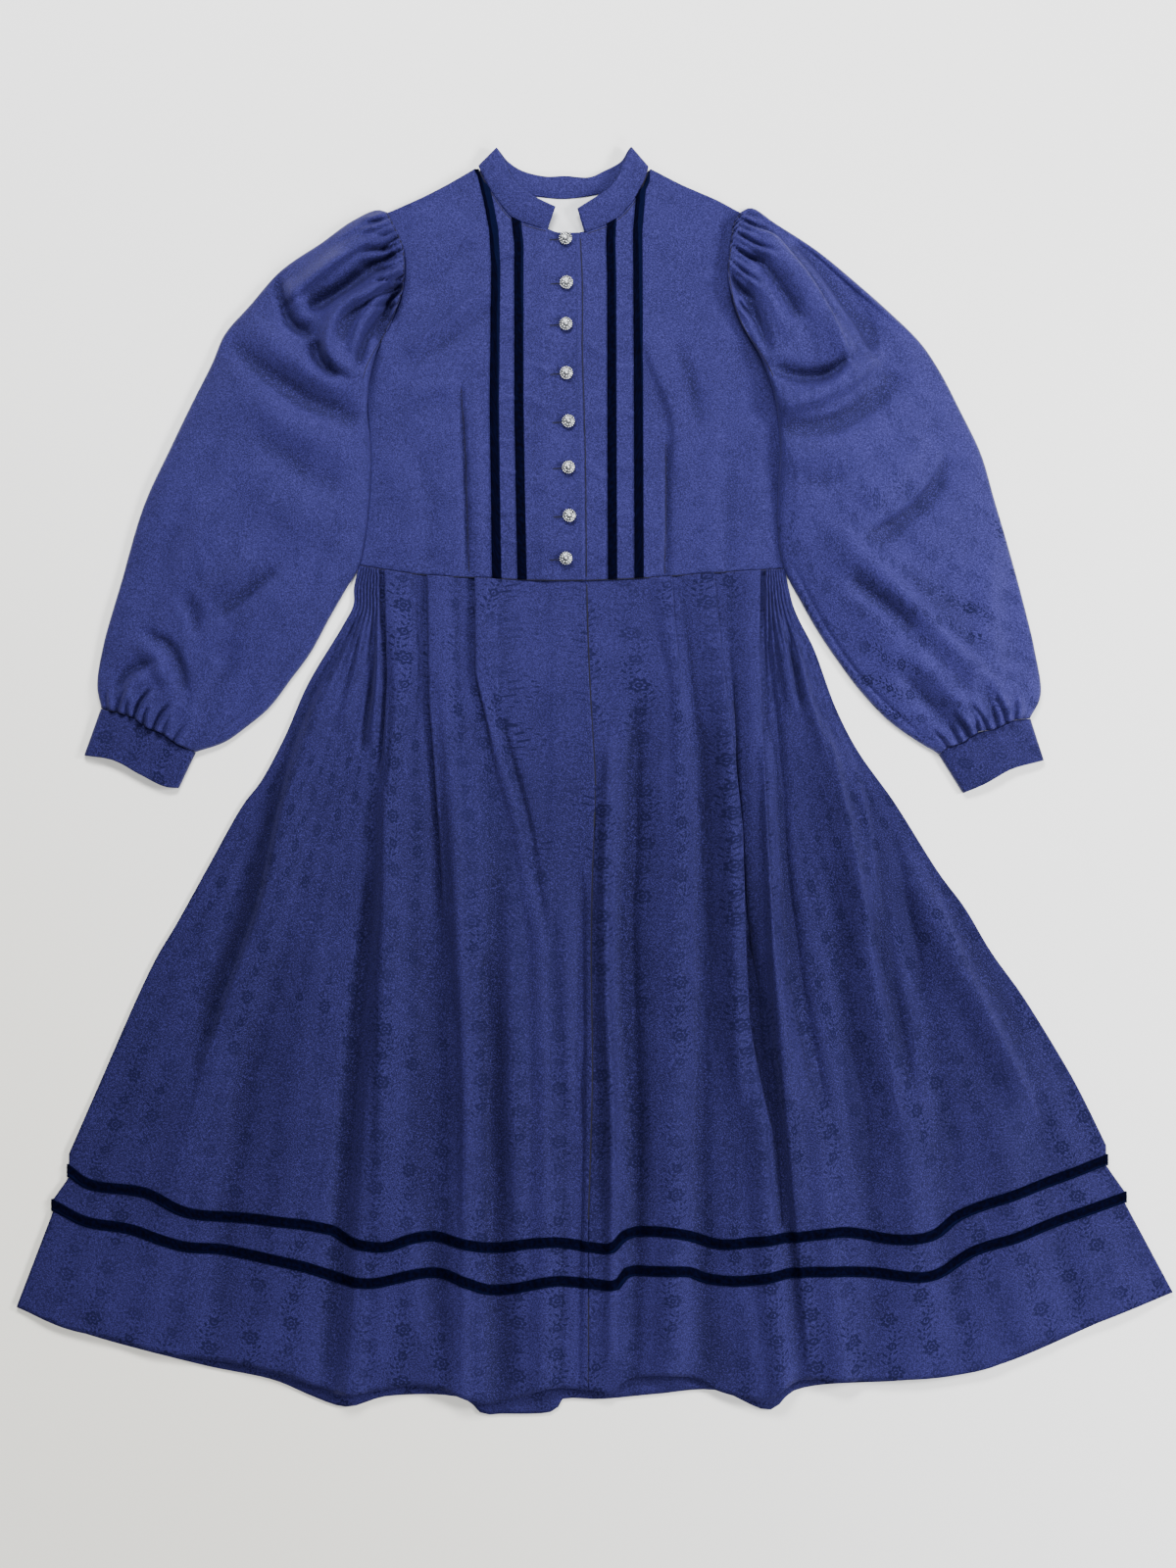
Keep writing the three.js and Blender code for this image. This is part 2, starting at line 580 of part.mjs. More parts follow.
// Pleats: where the folded edge runs [y, x], how far it laps at the waist, where the lap is gone,
// and how high the soft fold is that it runs out into.
const PLEATS_RIGHT = [
  {
    line: [[592, 485], [688, 485], [751, 489], [804, 506], [869, 522], [1100, 528], [1430, 522]],
    lap: 11,
    ends: 700,
    soft: 4.5,
  },
  {
    line: [
      [589, 436.5], [700, 438], [771, 441], [843, 447], [915, 456], [1100, 466], [1430, 460],
    ],
    lap: 12,
    ends: 760,
    soft: 6,
  },
  {
    line: [[581, 393], [688, 396], [786, 390], [901, 389], [987, 380], [1100, 374], [1430, 352]],
    lap: 12,
    ends: 800,
    soft: 7,
  },
];
const PLEATS_LEFT = [
  {
    line: [[588, 685], [637, 688], [700, 694], [850, 700], [1100, 700], [1430, 690]],
    lap: 11,
    ends: 690,
    soft: 4.5,
  },
  {
    line: [
      [585, 728], [668, 736], [751, 747], [786, 753], [872, 757], [958, 760], [1044, 763],
      [1150, 784], [1290, 790], [1430, 806],
    ],
    lap: 13,
    ends: 1150,
    soft: 8,
  },
  {
    line: [[580, 775], [751, 778], [901, 792], [1000, 812], [1150, 838], [1430, 868]],
    lap: 11,
    ends: 900,
    soft: 6,
  },
];
// One pleat across, from the part on top to the part beneath: place in laps when folded, place in
// spreads when run out, and height of each.
const PLEAT_SECTION = [
  { folded: -2.2, open: -2.2, high: 0.2, soft: 0.4 },
  { folded: -1.05, open: -1.1, high: 0.95, soft: 0.95 },
  { folded: -0.15, open: -0.4, high: 1.0, soft: 1.0 },
  { folded: 0, open: 0, high: 0.78, soft: 0.8 },
  { folded: -0.15, open: 0.3, high: 0.56, soft: 0.6 },
  { folded: -0.85, open: 0.55, high: 0.5, soft: 0.4 },
  { folded: -1, open: 0.8, high: 0.27, soft: 0.22 },
  { folded: -0.85, open: 1.1, high: 0.04, soft: 0.08 },
  { folded: 0.5, open: 1.8, high: 0, soft: 0 },
];
const PLEAT_RISE = 5.2;
const PUFF = 2.2; // how far the loose front stands off the back
const FLAT_SPANS = 4; // columns between the centre front and the first pleat
const SPREAD = { waist: 4.5, hem: 11 };
const SKIRT_FOLDS = [
  [326, 709, 226, 1030, 16, 6],
  [345, 740, 262, 1030, 18, -3],
  [226, 1030, 150, 1330, 26, 4],
  [300, 1000, 270, 1400, 26, 4],
  [420, 900, 425, 1400, 22, 4],
  [580, 850, 575, 1400, 26, 4],
  [640, 760, 650, 1400, 26, 5],
  [830, 900, 880, 1400, 24, 5],
  [858, 809, 917, 1095, 14, 6],
  [878, 803, 899, 952, 9, -3],
  [956, 910, 1050, 1112, 14, 6],
  [935, 930, 1010, 1120, 14, -3],
  [1000, 1200, 1040, 1380, 26, 4],
];
const SHIRRING = { ridges: 5, height: 0.8, ends: 640 };

const ROWS_TO_HEM = 12;
const HEM_BAND = 14; // how far above the upper ribbon the back starts to rise over its ribbons

// The skirt's length in blocks, so that rows fall on both edges of both hem ribbons.
function skirtBlocks(waist, inner, side, upper, lower, hem) {
  const half = RIBBON.width / 2;
  const above = below(upper, -HEM_BAND);
  const lines = [below(upper, -half), below(upper, half), below(lower, -half), below(lower, half), hem];
  return [
    { patch: patchBetween(waist, above, inner, side), rows: steps(ROWS_TO_HEM) },
    { patch: patchAcross(above, lines[0]), rows: [1] },
    { patch: patchAcross(lines[0], lines[1]), rows: [1] },
    { patch: patchAcross(lines[1], lines[2]), rows: [0.5, 1] },
    { patch: patchAcross(lines[2], lines[3]), rows: [1] },
    { patch: patchAcross(lines[3], lines[4]), rows: [0.5, 1] },
  ];
}
const UPPER_RIBBON_ROWS = [ROWS_TO_HEM + 1, ROWS_TO_HEM + 2];
const LOWER_RIBBON_ROWS = [ROWS_TO_HEM + 4, ROWS_TO_HEM + 5];

// How much the back is lifted by its own ribbons, in each row of each block.
const hemLift = (block, v) => (block ? UNDER_RIBBON : UNDER_RIBBON * ease(0.9, 1, v));

// One half of the skirt's front, from the centre front (u = 0) out to the side (u = 1).
function skirtFront({ blocks, pleats, side, lap, startAt }) {
  const rowOf = (patch, v, block) => {
    const width = patch(0, v).distanceTo(patch(1, v));
    const down = SHEET.y - patch(0.5, v).y;
    const spread = mix(SPREAD.waist, SPREAD.hem, ease(600, 1100, down));
    const shirred = SHIRRING.height * fadeOut([SHIRRING.ends - 30, SHIRRING.ends], down);
    const bare = FRONT_LEVEL + hemLift(block, v);
    const puff = PUFF * ease(600, 700, down);
    const lift = (p) => bare + lap(p) + Math.max(0, puff + softFolds(p, SKIRT_FOLDS));
    const plain = (u, ridge = 0) => {
      const p = patch(u, v);
      return p.setZ(mix(lift(p), bare, ease(0.9, 1, u)) + ridge);
    };
    const row = [];
    let from = startAt(patch, v, width);
    pleats.forEach((pleat, k) => {
      const at = crossing(patch, v, lengthwise(pleat.line), side);
      const start = at + (PLEAT_SECTION[0].open * spread) / width;
      if (k === 0) {
        row.push(...steps(FLAT_SPANS).slice(0, -1).map((t) => plain(mix(from, start, t))));
      }
      const folded = fadeOut([pleat.ends - 140, pleat.ends], down);
      for (const place of PLEAT_SECTION) {
        const off = mix(place.open * spread, place.folded * pleat.lap, folded);
        const p = patch(at + off / width, v);
        row.push(p.setZ(lift(p) + mix(place.soft * pleat.soft, place.high * PLEAT_RISE, folded)));
      }
      from = at + (PLEAT_SECTION.at(-1).open * spread) / width;
    });
    const gathers = steps(2 * SHIRRING.ridges).slice(1);
    row.push(...gathers.map((t, i) => plain(mix(from, 1, t), i % 2 ? 0 : shirred)));
    return row;
  };
  const grid = blocks.flatMap(({ patch, rows }, block) => rows.map((v) => rowOf(patch, v, block)));
  return side > 0 ? grid : turned(grid);
}

const downCentre = trace(CENTRE_FRONT);
const placketLap = (p) => {
  const across = ease(...PLACKET.stepRises, p.x);
  return LAP_STEP * across * fadeOut(PLACKET.stepEnds, SHEET.y - p.y);
};
const upperSkirt = skirtFront({
  blocks: skirtBlocks(
    below(trace(WAIST_RIGHT), SEAM / 2), downCentre, trace(SKIRT_SIDE_RIGHT),
    trace(HEM_RIBBON_RIGHT.upper), trace(HEM_RIBBON_RIGHT.lower), trace(HEM_RIGHT),
  ),
  pleats: PLEATS_RIGHT,
  side: -1,
  lap: placketLap,
  startAt: (patch, v, width) => SEAM / 2 / width,
});
const lowerSkirt = skirtFront({
  blocks: skirtBlocks(
    below(trace(WAIST_LEFT), SEAM / 2), downCentre, trace(SKIRT_SIDE_LEFT),
    trace(HEM_RIBBON_LEFT.upper), trace(HEM_RIBBON_LEFT.lower), trace(HEM_LEFT),
  ),
  pleats: PLEATS_LEFT,
  side: 1,
  lap: () => 0,
  startAt: (patch, v, width) => {
    const tuck = (PLACKET.lap + SEAM) * fadeOut(PLACKET.tuckEnds, SHEET.y - patch(0, v).y);
    return (SEAM / 2 - tuck) / width;
  },
});
add("skirt_front_right", wall(upperSkirt, CLOTH), cloth);
add("skirt_front_left", wall(lowerSkirt, CLOTH), cloth);

// ---------------------------------------------------------------- skirt back
const backBlocks = skirtBlocks(
  below(backWaist, SEAM / 2),
  trace(SKIRT_SIDE_RIGHT),
  trace(SKIRT_SIDE_LEFT),
  trace(flip(HEM_RIBBON_RIGHT.upper), HEM_RIBBON_LEFT.upper),
  trace(flip(HEM_RIBBON_RIGHT.lower), HEM_RIBBON_LEFT.lower),
  trace(HEM_BACK),
);
const BACK_COLUMNS = 18;
const backSkirt = backBlocks.flatMap(({ patch, rows }, block) =>
  rows.map((v) => {
    const level = atLevel(BACK_LEVEL + hemLift(block, v));
    return steps(BACK_COLUMNS).map((u) => level(patch(u, v)));
  }),
);
add("skirt_back", wall(backSkirt, CLOTH), cloth);

// ---------------------------------------------------------------- hem ribbons
// Each is a ring: over both fronts, round the side edge and back under the skirt's back.
const SIDE_TURN = [45, 0, -45];

// One face of a ring, lying by so much off the middle of the cloth.
function ringFace(edgeRows, off) {
  const [right, left, back] = [upperSkirt, lowerSkirt, backSkirt].map((grid) => {
    const moved = liftedBy(grid, normalsOf(grid, false), grid === backSkirt ? -off : off);
    return edgeRows.map((j) => moved[j]);
  });
  const turnRound = (above, beneath, outward) => {
    const middle = above.clone().lerp(beneath, 0.5);
    const radius = above.distanceTo(beneath) / 2;
    return SIDE_TURN.map((degrees) => {
      const angle = THREE.MathUtils.degToRad(degrees);
      const reach = new THREE.Vector3(outward * Math.cos(angle), 0, Math.sin(angle));
      return middle.clone().addScaledVector(reach, radius);
    });
  };
  return edgeRows.map((_, k) => [
    ...right[k],
    ...left[k],
    ...turnRound(left[k].at(-1), back[k].at(-1), 1),
    ...flip(back[k]),
    ...turnRound(right[k][0], back[k][0], -1).reverse(),
  ]);
}

function hemRibbon(edgeRows) {
  const clear = CLOTH / 2 + SEAM;
  return wallBetween(ringFace(edgeRows, clear + RIBBON.thickness), ringFace(edgeRows, clear), true);
}
add("hem_ribbon_upper", hemRibbon(UPPER_RIBBON_ROWS), velvet);
add("hem_ribbon_lower", hemRibbon(LOWER_RIBBON_ROWS), velvet);

// ---------------------------------------------------------------- buttons
const BUTTONS = [
  [577, 245], [578, 290], [577.5, 332], [578, 382], [580, 431], [580, 478], [581, 527], [577.5, 570.5],
];
const buttonProfile = () => {
  const { radius, dome, rim, shank, shankRadius } = BUTTON;
  const arc = steps(3).map((t) => {
    const angle = (Math.PI / 2) * t;
    return new THREE.Vector2(radius * Math.cos(angle), shank + rim + dome * Math.sin(angle));
  });
  arc[3].x = 0;
  return [
    new THREE.Vector2(0, 0), new THREE.Vector2(shankRadius, 0),
    new THREE.Vector2(shankRadius, shank), new THREE.Vector2(radius, shank), ...arc,
  ];
};
const panelHeight = (x, y) => {
  const p = onSheet([x, y]);
  return bodiceLift(p, 0.08, LAP_STEP) + CLOTH / 2;
};
BUTTONS.forEach(([x, y], k) => {
  const turnedUp = new THREE.LatheGeometry(buttonProfile(), BUTTON.sides).rotateX(Math.PI / 2);
  const p = onSheet([x, y]);
  turnedUp.translate(p.x, p.y, panelHeight(x, y) + SEAM);
  add(`button_${k + 1}`, turnedUp, silver);
});

export default dress;
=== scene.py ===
import math

import bmesh
import bpy
import numpy as np
from mathutils import Matrix, Vector, noise
from mathutils.bvhtree import BVHTree


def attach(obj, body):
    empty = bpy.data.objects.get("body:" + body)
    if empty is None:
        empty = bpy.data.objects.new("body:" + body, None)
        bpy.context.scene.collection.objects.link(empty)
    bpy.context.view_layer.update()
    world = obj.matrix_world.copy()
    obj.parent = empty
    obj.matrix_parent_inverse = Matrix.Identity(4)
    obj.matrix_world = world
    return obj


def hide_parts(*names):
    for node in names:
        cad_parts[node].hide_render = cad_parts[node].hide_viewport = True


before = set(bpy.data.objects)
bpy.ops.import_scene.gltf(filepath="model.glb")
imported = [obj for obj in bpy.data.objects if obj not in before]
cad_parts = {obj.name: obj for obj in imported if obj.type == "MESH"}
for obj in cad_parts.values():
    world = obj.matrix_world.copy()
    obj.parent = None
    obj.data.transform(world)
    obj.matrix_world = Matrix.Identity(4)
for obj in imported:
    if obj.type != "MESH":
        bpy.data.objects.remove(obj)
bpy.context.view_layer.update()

MM = 0.001

# ---------------------------------------------------------------- table, light and camera
# The dress lies on a plain pale table top. Wide soft lights stand beyond its collar, on either
# side and beyond its hem, and the camera hangs straight over the middle.
VIEW_HEIGHT = 3.0
VIEW_WIDTH = 1.2
VIEW_CENTRE = (-0.0068, -0.0028)
SENSOR_WIDTH = 36
TABLE_HALF_WIDTH = 4
ROOM_COLOUR = (0.93, 0.96, 1.0)
ROOM_STRENGTH = 0.30
# name, place, aim, width and length, watts
SOFT_LIGHTS = [
    ("window_light", (-0.35, 2.0, 1.75), (0, 0.3, 0), (1.5, 0.6), 127),
    ("side_light", (2.25, 0.35, 1.4), (0.48, -0.2, 0), (0.8, 0.6), 104),
    ("left_light", (-2.4, -1.6, 2.0), (0, -0.6, 0), (1.2, 1.0), 22),
    ("foot_light", (1.9, -2.1, 1.8), (0.15, -0.8, 0), (1.5, 0.8), 78),
]


class Value:
    """A socket that takes part in sums: each operation adds one Math node."""

    def __init__(self, tree, socket):
        self.tree = tree
        self.socket = socket

    def sum(self, operation, *others):
        node = self.tree.nodes.new("ShaderNodeMath")
        node.operation = operation
        for k, other in enumerate((self, *others)):
            plug(self.tree, node.inputs[k], other)
        return Value(self.tree, node.outputs[0])

    def __add__(self, other): return self.sum("ADD", other)
    def __radd__(self, other): return self.sum("ADD", other)
    def __sub__(self, other): return self.sum("SUBTRACT", other)
    def __mul__(self, other): return self.sum("MULTIPLY", other)
    def __truediv__(self, other): return self.sum("DIVIDE", other)
    def __mod__(self, other): return self.sum("FLOORED_MODULO", other)
    def floor(self): return self.sum("FLOOR")
    def sine(self): return self.sum("SINE")
    def cosine(self): return self.sum("COSINE")
    def size(self): return self.sum("ABSOLUTE")
    def root(self): return self.sum("SQRT")
    def under(self, other): return self.sum("MINIMUM", other)
    def angle_to(self, other): return self.sum("ARCTAN2", other)

    def rise(self, low, high):
        """0 below low, 1 above high, smooth between; the other way round when low > high."""
        node = self.tree.nodes.new("ShaderNodeMapRange")
        node.interpolation_type = "SMOOTHSTEP"
        for name, value in (("Value", self), ("From Min", low), ("From Max", high)):
            plug(self.tree, node.inputs[name], value)
        return Value(self.tree, node.outputs[0])


def plug(tree, socket, value):
    """Sets a socket to a number or a colour, or links a value to it."""
    if isinstance(value, Value):
        tree.links.new(value.socket, socket)
    else:
        socket.default_value = value


class Finish:
    """A material under construction: a Principled shader with its constant values set on it."""

    def __init__(self, name, **constants):
        self.material = bpy.data.materials.new(name)
        self.material.use_nodes = True
        self.tree = self.material.node_tree
        self.shader = self.tree.nodes["Principled BSDF"]
        for key, value in constants.items():
            self.shader.inputs[key.replace("_", " ")].default_value = value

    def add(self, kind, settings=(), output=0, **inputs):
        """One more node, with its settings and inputs; its output takes part in sums."""
        node = self.tree.nodes.new("ShaderNode" + kind)
        for key, value in dict(settings).items():
            setattr(node, key, value)
        for key, value in inputs.items():
            plug(self.tree, node.inputs[key.replace("_", " ")], value)
        return Value(self.tree, node.outputs[output])

    def colours(self, share, first, second):
        """The first colour where share is 0, the second where it is 1."""
        node = self.tree.nodes.new("ShaderNodeMix")
        node.data_type = "RGBA"
        plug(self.tree, node.inputs["Factor"], share)
        for socket, value in ((node.inputs[6], first), (node.inputs[7], second)):
            plug(self.tree, socket, value if isinstance(value, Value) else (*value, 1))
        return Value(self.tree, node.outputs[2])

    def place(self, uv_map=None):
        """x, y, z of the piece's own cloth map, or of its Object coordinates, in millimetres."""
        if uv_map:
            source = self.add("UVMap", {"uv_map": uv_map})
        else:
            source = self.add("TexCoord", output=3)
        split = self.tree.nodes.new("ShaderNodeSeparateXYZ")
        self.tree.links.new(source.socket, split.inputs[0])
        return [Value(self.tree, split.outputs[k]) * 1000 for k in range(3)]

    def joined(self, x, y, z=0.0):
        return self.add("CombineXYZ", X=x, Y=y, Z=z)

    def to(self, **sockets):
        """Plugs the varying values into the shader, and gives the finished material."""
        for key, value in sockets.items():
            plug(self.tree, self.shader.inputs[key.replace("_", " ")], value)
        return self.material

    def bumped(self, height, distance, strength=1.0):
        return self.add("Bump", Strength=strength, Distance=distance, Height=height)


def object_of(name, mesh, *materials):
    """The object that a finished bmesh becomes, at the origin."""
    data = bpy.data.meshes.new(name)
    mesh.to_mesh(data)
    mesh.free()
    for material in materials:
        data.materials.append(material)
    piece = bpy.data.objects.new(name, data)
    bpy.context.collection.objects.link(piece)
    return piece


def painted_board():
    """Off-white paint, cloudy, with painted shade greying it beyond the collar, and warmer towards
    the near left corner.
    """
    board = Finish("table_board", Roughness=0.75)
    x, y, _ = board.place()
    cloudy = board.add("TexNoise", Vector=board.joined(x, y), Scale=0.004, Detail=3.0)
    warm = (x * -0.0008 + y * -0.0006).rise(0.0, 0.8)
    # painted shade: the board is greyed beyond the collar
    far_shade = y.rise(200, 800)
    shade = board.colours(cloudy, (0.93, 0.935, 0.93), (0.975, 0.975, 0.965))
    shade = board.colours(far_shade * 0.7, shade, (0.87, 0.868, 0.86))
    shade = board.colours(warm, shade, (0.90, 0.88, 0.80))
    return board.to(Base_Color=shade)


def table_top():
    mesh = bmesh.new()
    bmesh.ops.create_grid(mesh, x_segments=1, y_segments=1, size=TABLE_HALF_WIDTH)
    object_of("table_top", mesh, painted_board())


def soft_light(name, place, aim, size, power):
    light = bpy.data.lights.new(name, "AREA")
    light.shape = "RECTANGLE"
    light.size, light.size_y = size
    light.energy = power
    lamp = bpy.data.objects.new(name, light)
    lamp.location = place
    lamp.rotation_euler = (Vector(aim) - Vector(place)).to_track_quat("-Z", "Y").to_euler()
    bpy.context.collection.objects.link(lamp)


def hang_camera():
    camera = bpy.data.cameras.new("overhead_camera")
    camera.sensor_fit = "HORIZONTAL"
    camera.sensor_width = SENSOR_WIDTH
    camera.lens = SENSOR_WIDTH * VIEW_HEIGHT / VIEW_WIDTH
    holder = bpy.data.objects.new("overhead_camera", camera)
    holder.location = (*VIEW_CENTRE, VIEW_HEIGHT)
    bpy.context.collection.objects.link(holder)
    bpy.context.scene.camera = holder


def room_light():
    world = bpy.data.worlds.new("room")
    world.use_nodes = True
    background = world.node_tree.nodes["Background"]
    background.inputs["Color"].default_value = (*ROOM_COLOUR, 1)
    background.inputs["Strength"].default_value = ROOM_STRENGTH
    bpy.context.scene.world = world


table_top()
for light in SOFT_LIGHTS:
    soft_light(*light)
room_light()
hang_camera()

# ---------------------------------------------------------------- bodice fronts
# Two fronts of blue twill with a woven sprig. The wearer's right front laps over the left and is
# buttoned through it. Each is shaped by one dart, and both lie on the back of the bodice.
# Sizes are in millimetres. Outlines are drawn on a layout sheet, with x to the right and y down.
CLOTH = 1.2
SEAM = 0.4
SHEET_X, SHEET_Y = 606.75, 797.2
BACK_LEVEL = CLOTH / 2
FRONT_LEVEL = BACK_LEVEL + CLOTH + SEAM
LAP_STEP = CLOTH + SEAM
EDGE_STEP = 1.0
BLUE_GROUND = (0.0170, 0.0150, 0.074)
BLUE_FIGURE = (0.0034, 0.0034, 0.020)
TWILL_PITCH = 1.5
SPRIG_STRIPE, SPRIG_REPEAT, SPRIG_SHIFT = 33.0, 54.0, 0.37
STEM_SWING = 4.2
DASH_PITCH, LEAF_PITCH, DOT_PITCH = 4.2, 7.6, 5.4


def on_sheet(rows):
    """Points of the layout sheet as millimetres in the frame."""
    table = np.array(rows, float)
    return np.stack([table[:, 0] - SHEET_X, SHEET_Y - table[:, 1]], 1)


def smooth_through(rows, spans=16):
    """A smooth curve through the rows, with spans points from each row to the next."""
    p = on_sheet(rows)
    p = np.vstack([2 * p[0] - p[1], p, 2 * p[-1] - p[-2]])
    gap = np.maximum(np.linalg.norm(np.diff(p, axis=0), axis=1), 1e-6) ** 0.5
    t = np.linspace(0, 1, spans, endpoint=False)[:, None]
    stretches = []
    for k in range(1, len(p) - 2):
        a, b, c, d = p[k - 1:k + 3]
        before, here, after = gap[k - 1:k + 2]
        leave = ((b - a) / before - (c - a) / (before + here) + (c - b) / here) * here
        arrive = ((c - b) / here - (d - b) / (here + after) + (d - c) / after) * here
        square = -3 * b + 3 * c - 2 * leave - arrive
        cube = 2 * b - 2 * c + leave + arrive
        stretches.append(b + leave * t + square * t ** 2 + cube * t ** 3)
    return np.vstack([*stretches, p[-2:-1]])


def trace(*tables):
    """A smooth edge through each table in turn, called with 0..1 along its whole length."""
    points = np.vstack([smooth_through(rows) for rows in tables])
    reach = np.concatenate([[0], np.cumsum(np.linalg.norm(np.diff(points, axis=0), axis=1))])
    reach /= reach[-1]
    leave = (points[6] - points[0]) / reach[6]
    arrive = (points[-1] - points[-7]) / (1 - reach[-7])

    def at(t):
        t = np.asarray(t, float)
        p = np.stack([np.interp(t, reach, points[:, 0]), np.interp(t, reach, points[:, 1])], -1)
        return p + np.minimum(0, t)[..., None] * leave + np.maximum(0, t - 1)[..., None] * arrive
    return at


def run_of(edge, t):
    """The direction of an edge at t."""
    step = edge(np.asarray(t) + 0.004) - edge(np.asarray(t) - 0.004)
    return step / np.linalg.norm(step, axis=-1, keepdims=True)


def beside(edge, by):
    """An edge moved sideways, to the left of its run."""
    def moved(t):
        run = run_of(edge, t)
        return edge(t) + by * np.stack([-run[..., 1], run[..., 0]], -1)
    return moved


def below(edge, by):
    """An edge moved down the dress, far enough to lie that much away from itself."""
    def moved(t):
        p = edge(t).copy()
        p[..., 1] -= by / np.maximum(0.7, np.abs(run_of(edge, t)[..., 0]))
        return p
    return moved


def patch_between(top, bottom, first, last):
    """A patch between four edges; u runs across and v down the dress."""
    def drawn(edge, v, start, end):
        return edge(v) + (1 - v)[..., None] * (start - edge(0.0)) + v[..., None] * (end - edge(1.0))

    def at(u, v):
        u, v = np.broadcast_arrays(np.asarray(u, float), np.asarray(v, float))
        a, b = u[..., None], v[..., None]
        p = (1 - b) * top(u) + b * bottom(u)
        p = p + (1 - a) * drawn(first, v, top(0.0), bottom(0.0))
        p = p + a * drawn(last, v, top(1.0), bottom(1.0))
        p = p - (1 - a) * (1 - b) * top(0.0) - a * (1 - b) * top(1.0)
        return p - (1 - a) * b * bottom(0.0) - a * b * bottom(1.0)
    return at


def patch_across(top, bottom):
    """A patch between two edges only, straight from one to the other."""
    def at(u, v):
        u, v = np.broadcast_arrays(np.asarray(u, float), np.asarray(v, float))
        return (1 - v[..., None]) * top(u) + v[..., None] * bottom(u)
    return at


def lengthwise(rows):
    """A line down the dress as x for a given y; its rows are (y, x) of the layout sheet."""
    table = np.array(rows, float)
    return lambda y: np.interp(SHEET_Y - y, table[:, 0], table[:, 1]) - SHEET_X


def crossing(patch, v, line, side):
    """The u at which row v of a patch meets a lengthwise line."""
    u = np.linspace(-0.02, 1.02, 417)
    p = patch(u, v)
    off = np.maximum.accumulate(side * (p[:, 0] - line(p[:, 1])))
    return float(np.interp(0, off, u))


def ease(low, high, value):
    """0 up to low, 1 from high on, smooth between."""
    t = np.clip((np.asarray(value, float) - low) / (high - low), 0, 1)
    return t * t * (3 - 2 * t)


def creases(xy, table):
    """Height of the folds at each point. Rows: height, width, lean, path on the layout sheet.

    A fold is highest in the middle of its path and runs out at both ends. Lean makes it steep on
    the left of its path (towards 1) or on the right (towards -1).
    """
    height = np.zeros(xy.shape[:-1])
    for rise, width, lean, path in table:
        line = smooth_through(path, 5)
        lengths = np.linalg.norm(np.diff(line, axis=0), axis=1)
        reach = np.concatenate([[0], np.cumsum(lengths)]) / lengths.sum()
        best = np.full(height.shape, 1e9)
        side = np.zeros(height.shape)
        place = np.zeros(height.shape)
        for k in range(len(line) - 1):
            run = line[k + 1] - line[k]
            off = xy - line[k]
            t = np.clip((off @ run) / (run @ run), 0, 1)
            rest = off - t[..., None] * run
            gap = np.hypot(rest[..., 0], rest[..., 1])
            nearer = gap < best
            turn = run[0] * off[..., 1] - run[1] * off[..., 0]
            best = np.where(nearer, gap, best)
            side = np.where(nearer, np.sign(turn), side)
            place = np.where(nearer, reach[k] + t * (reach[k + 1] - reach[k]), place)
        wide = width * (1 - lean * side)
        ends = 0.25 + 0.75 * np.sqrt(np.clip(4 * place * (1 - place), 0, 1))
        height += rise * ends * np.exp(-(best / wide) ** 2)
    return height


def uneven(xy, scale, height, seed):
    """Slow unevenness of cloth that lies loosely; the same on every run."""
    flat = xy.reshape(-1, 2) / scale
    soft = [noise.noise(Vector((x, y, seed))) for x, y in flat]
    return height * np.array(soft).reshape(xy.shape[:-1])


# the depth of the hollows, found below, is the mask for the twill's painted shade in the folds
HOLLOW_REACH, HOLLOW_DEPTH, HOLLOW_SAMPLES = 20.0, 4.0, 5


def hollows(points):
    """How far each point lies below the cloth around it: 0 on a fold, 1 down in a hollow."""
    rows, columns = points.shape[:2]
    down, across = (
        max(1, round(HOLLOW_REACH / np.linalg.norm(np.diff(points, axis=axis), axis=-1).mean()))
        for axis in (0, 1)
    )
    z = np.pad(points[..., 2], ((down, down), (across, across)), mode="edge")
    around = sum(
        z[a:a + rows, b:b + columns]
        for a in np.linspace(0, 2 * down, HOLLOW_SAMPLES).astype(int)
        for b in np.linspace(0, 2 * across, HOLLOW_SAMPLES).astype(int)
    ) / HOLLOW_SAMPLES ** 2
    return np.clip((around - points[..., 2]) / HOLLOW_DEPTH, 0, 1)


def cloth_sheet(name, points, cloth_map, thickness=CLOTH, tube=False):
    """A sheet through a grid of points in millimetres, rows down and columns across.

    The map gives each point's place on the flat cloth. A tube's first and last columns meet.
    """
    rows, columns = points.shape[:2]
    mesh = bmesh.new()
    cloth = mesh.loops.layers.uv.new("cloth")
    # how deep each point lies in a hollow; the twill paints shade there by it
    hollow = mesh.verts.layers.float.new("hollow")
    deep = hollows(points)
    bmesh.ops.create_grid(mesh, x_segments=columns - 1, y_segments=rows - 1, size=1)
    spot = {}
    for vertex in mesh.verts:
        column = round((vertex.co.x + 1) / 2 * (columns - 1))
        row = round((1 - vertex.co.y) / 2 * (rows - 1))
        spot[vertex.index] = (row, column)
    mesh.verts.index_update()
    for vertex in mesh.verts:
        vertex.co = Vector(points[spot[vertex.index]]) * MM
        vertex[hollow] = deep[spot[vertex.index]]
    for face in mesh.faces:
        face.smooth = True
        for loop in face.loops:
            loop[cloth].uv = cloth_map[spot[loop.vert.index]] * MM
    if tube:
        bmesh.ops.remove_doubles(mesh, verts=mesh.verts[:], dist=1e-6)
    piece = object_of(name, mesh)
    wall = piece.modifiers.new("wall", "SOLIDIFY")
    wall.thickness = thickness * MM
    wall.offset = 0
    wall.use_even_offset = False
    return piece


def normals_of(points):
    across = np.gradient(points, axis=1)
    down = np.gradient(points, axis=0)
    out = np.cross(down, across)
    return out / np.maximum(1e-9, np.linalg.norm(out, axis=-1, keepdims=True))


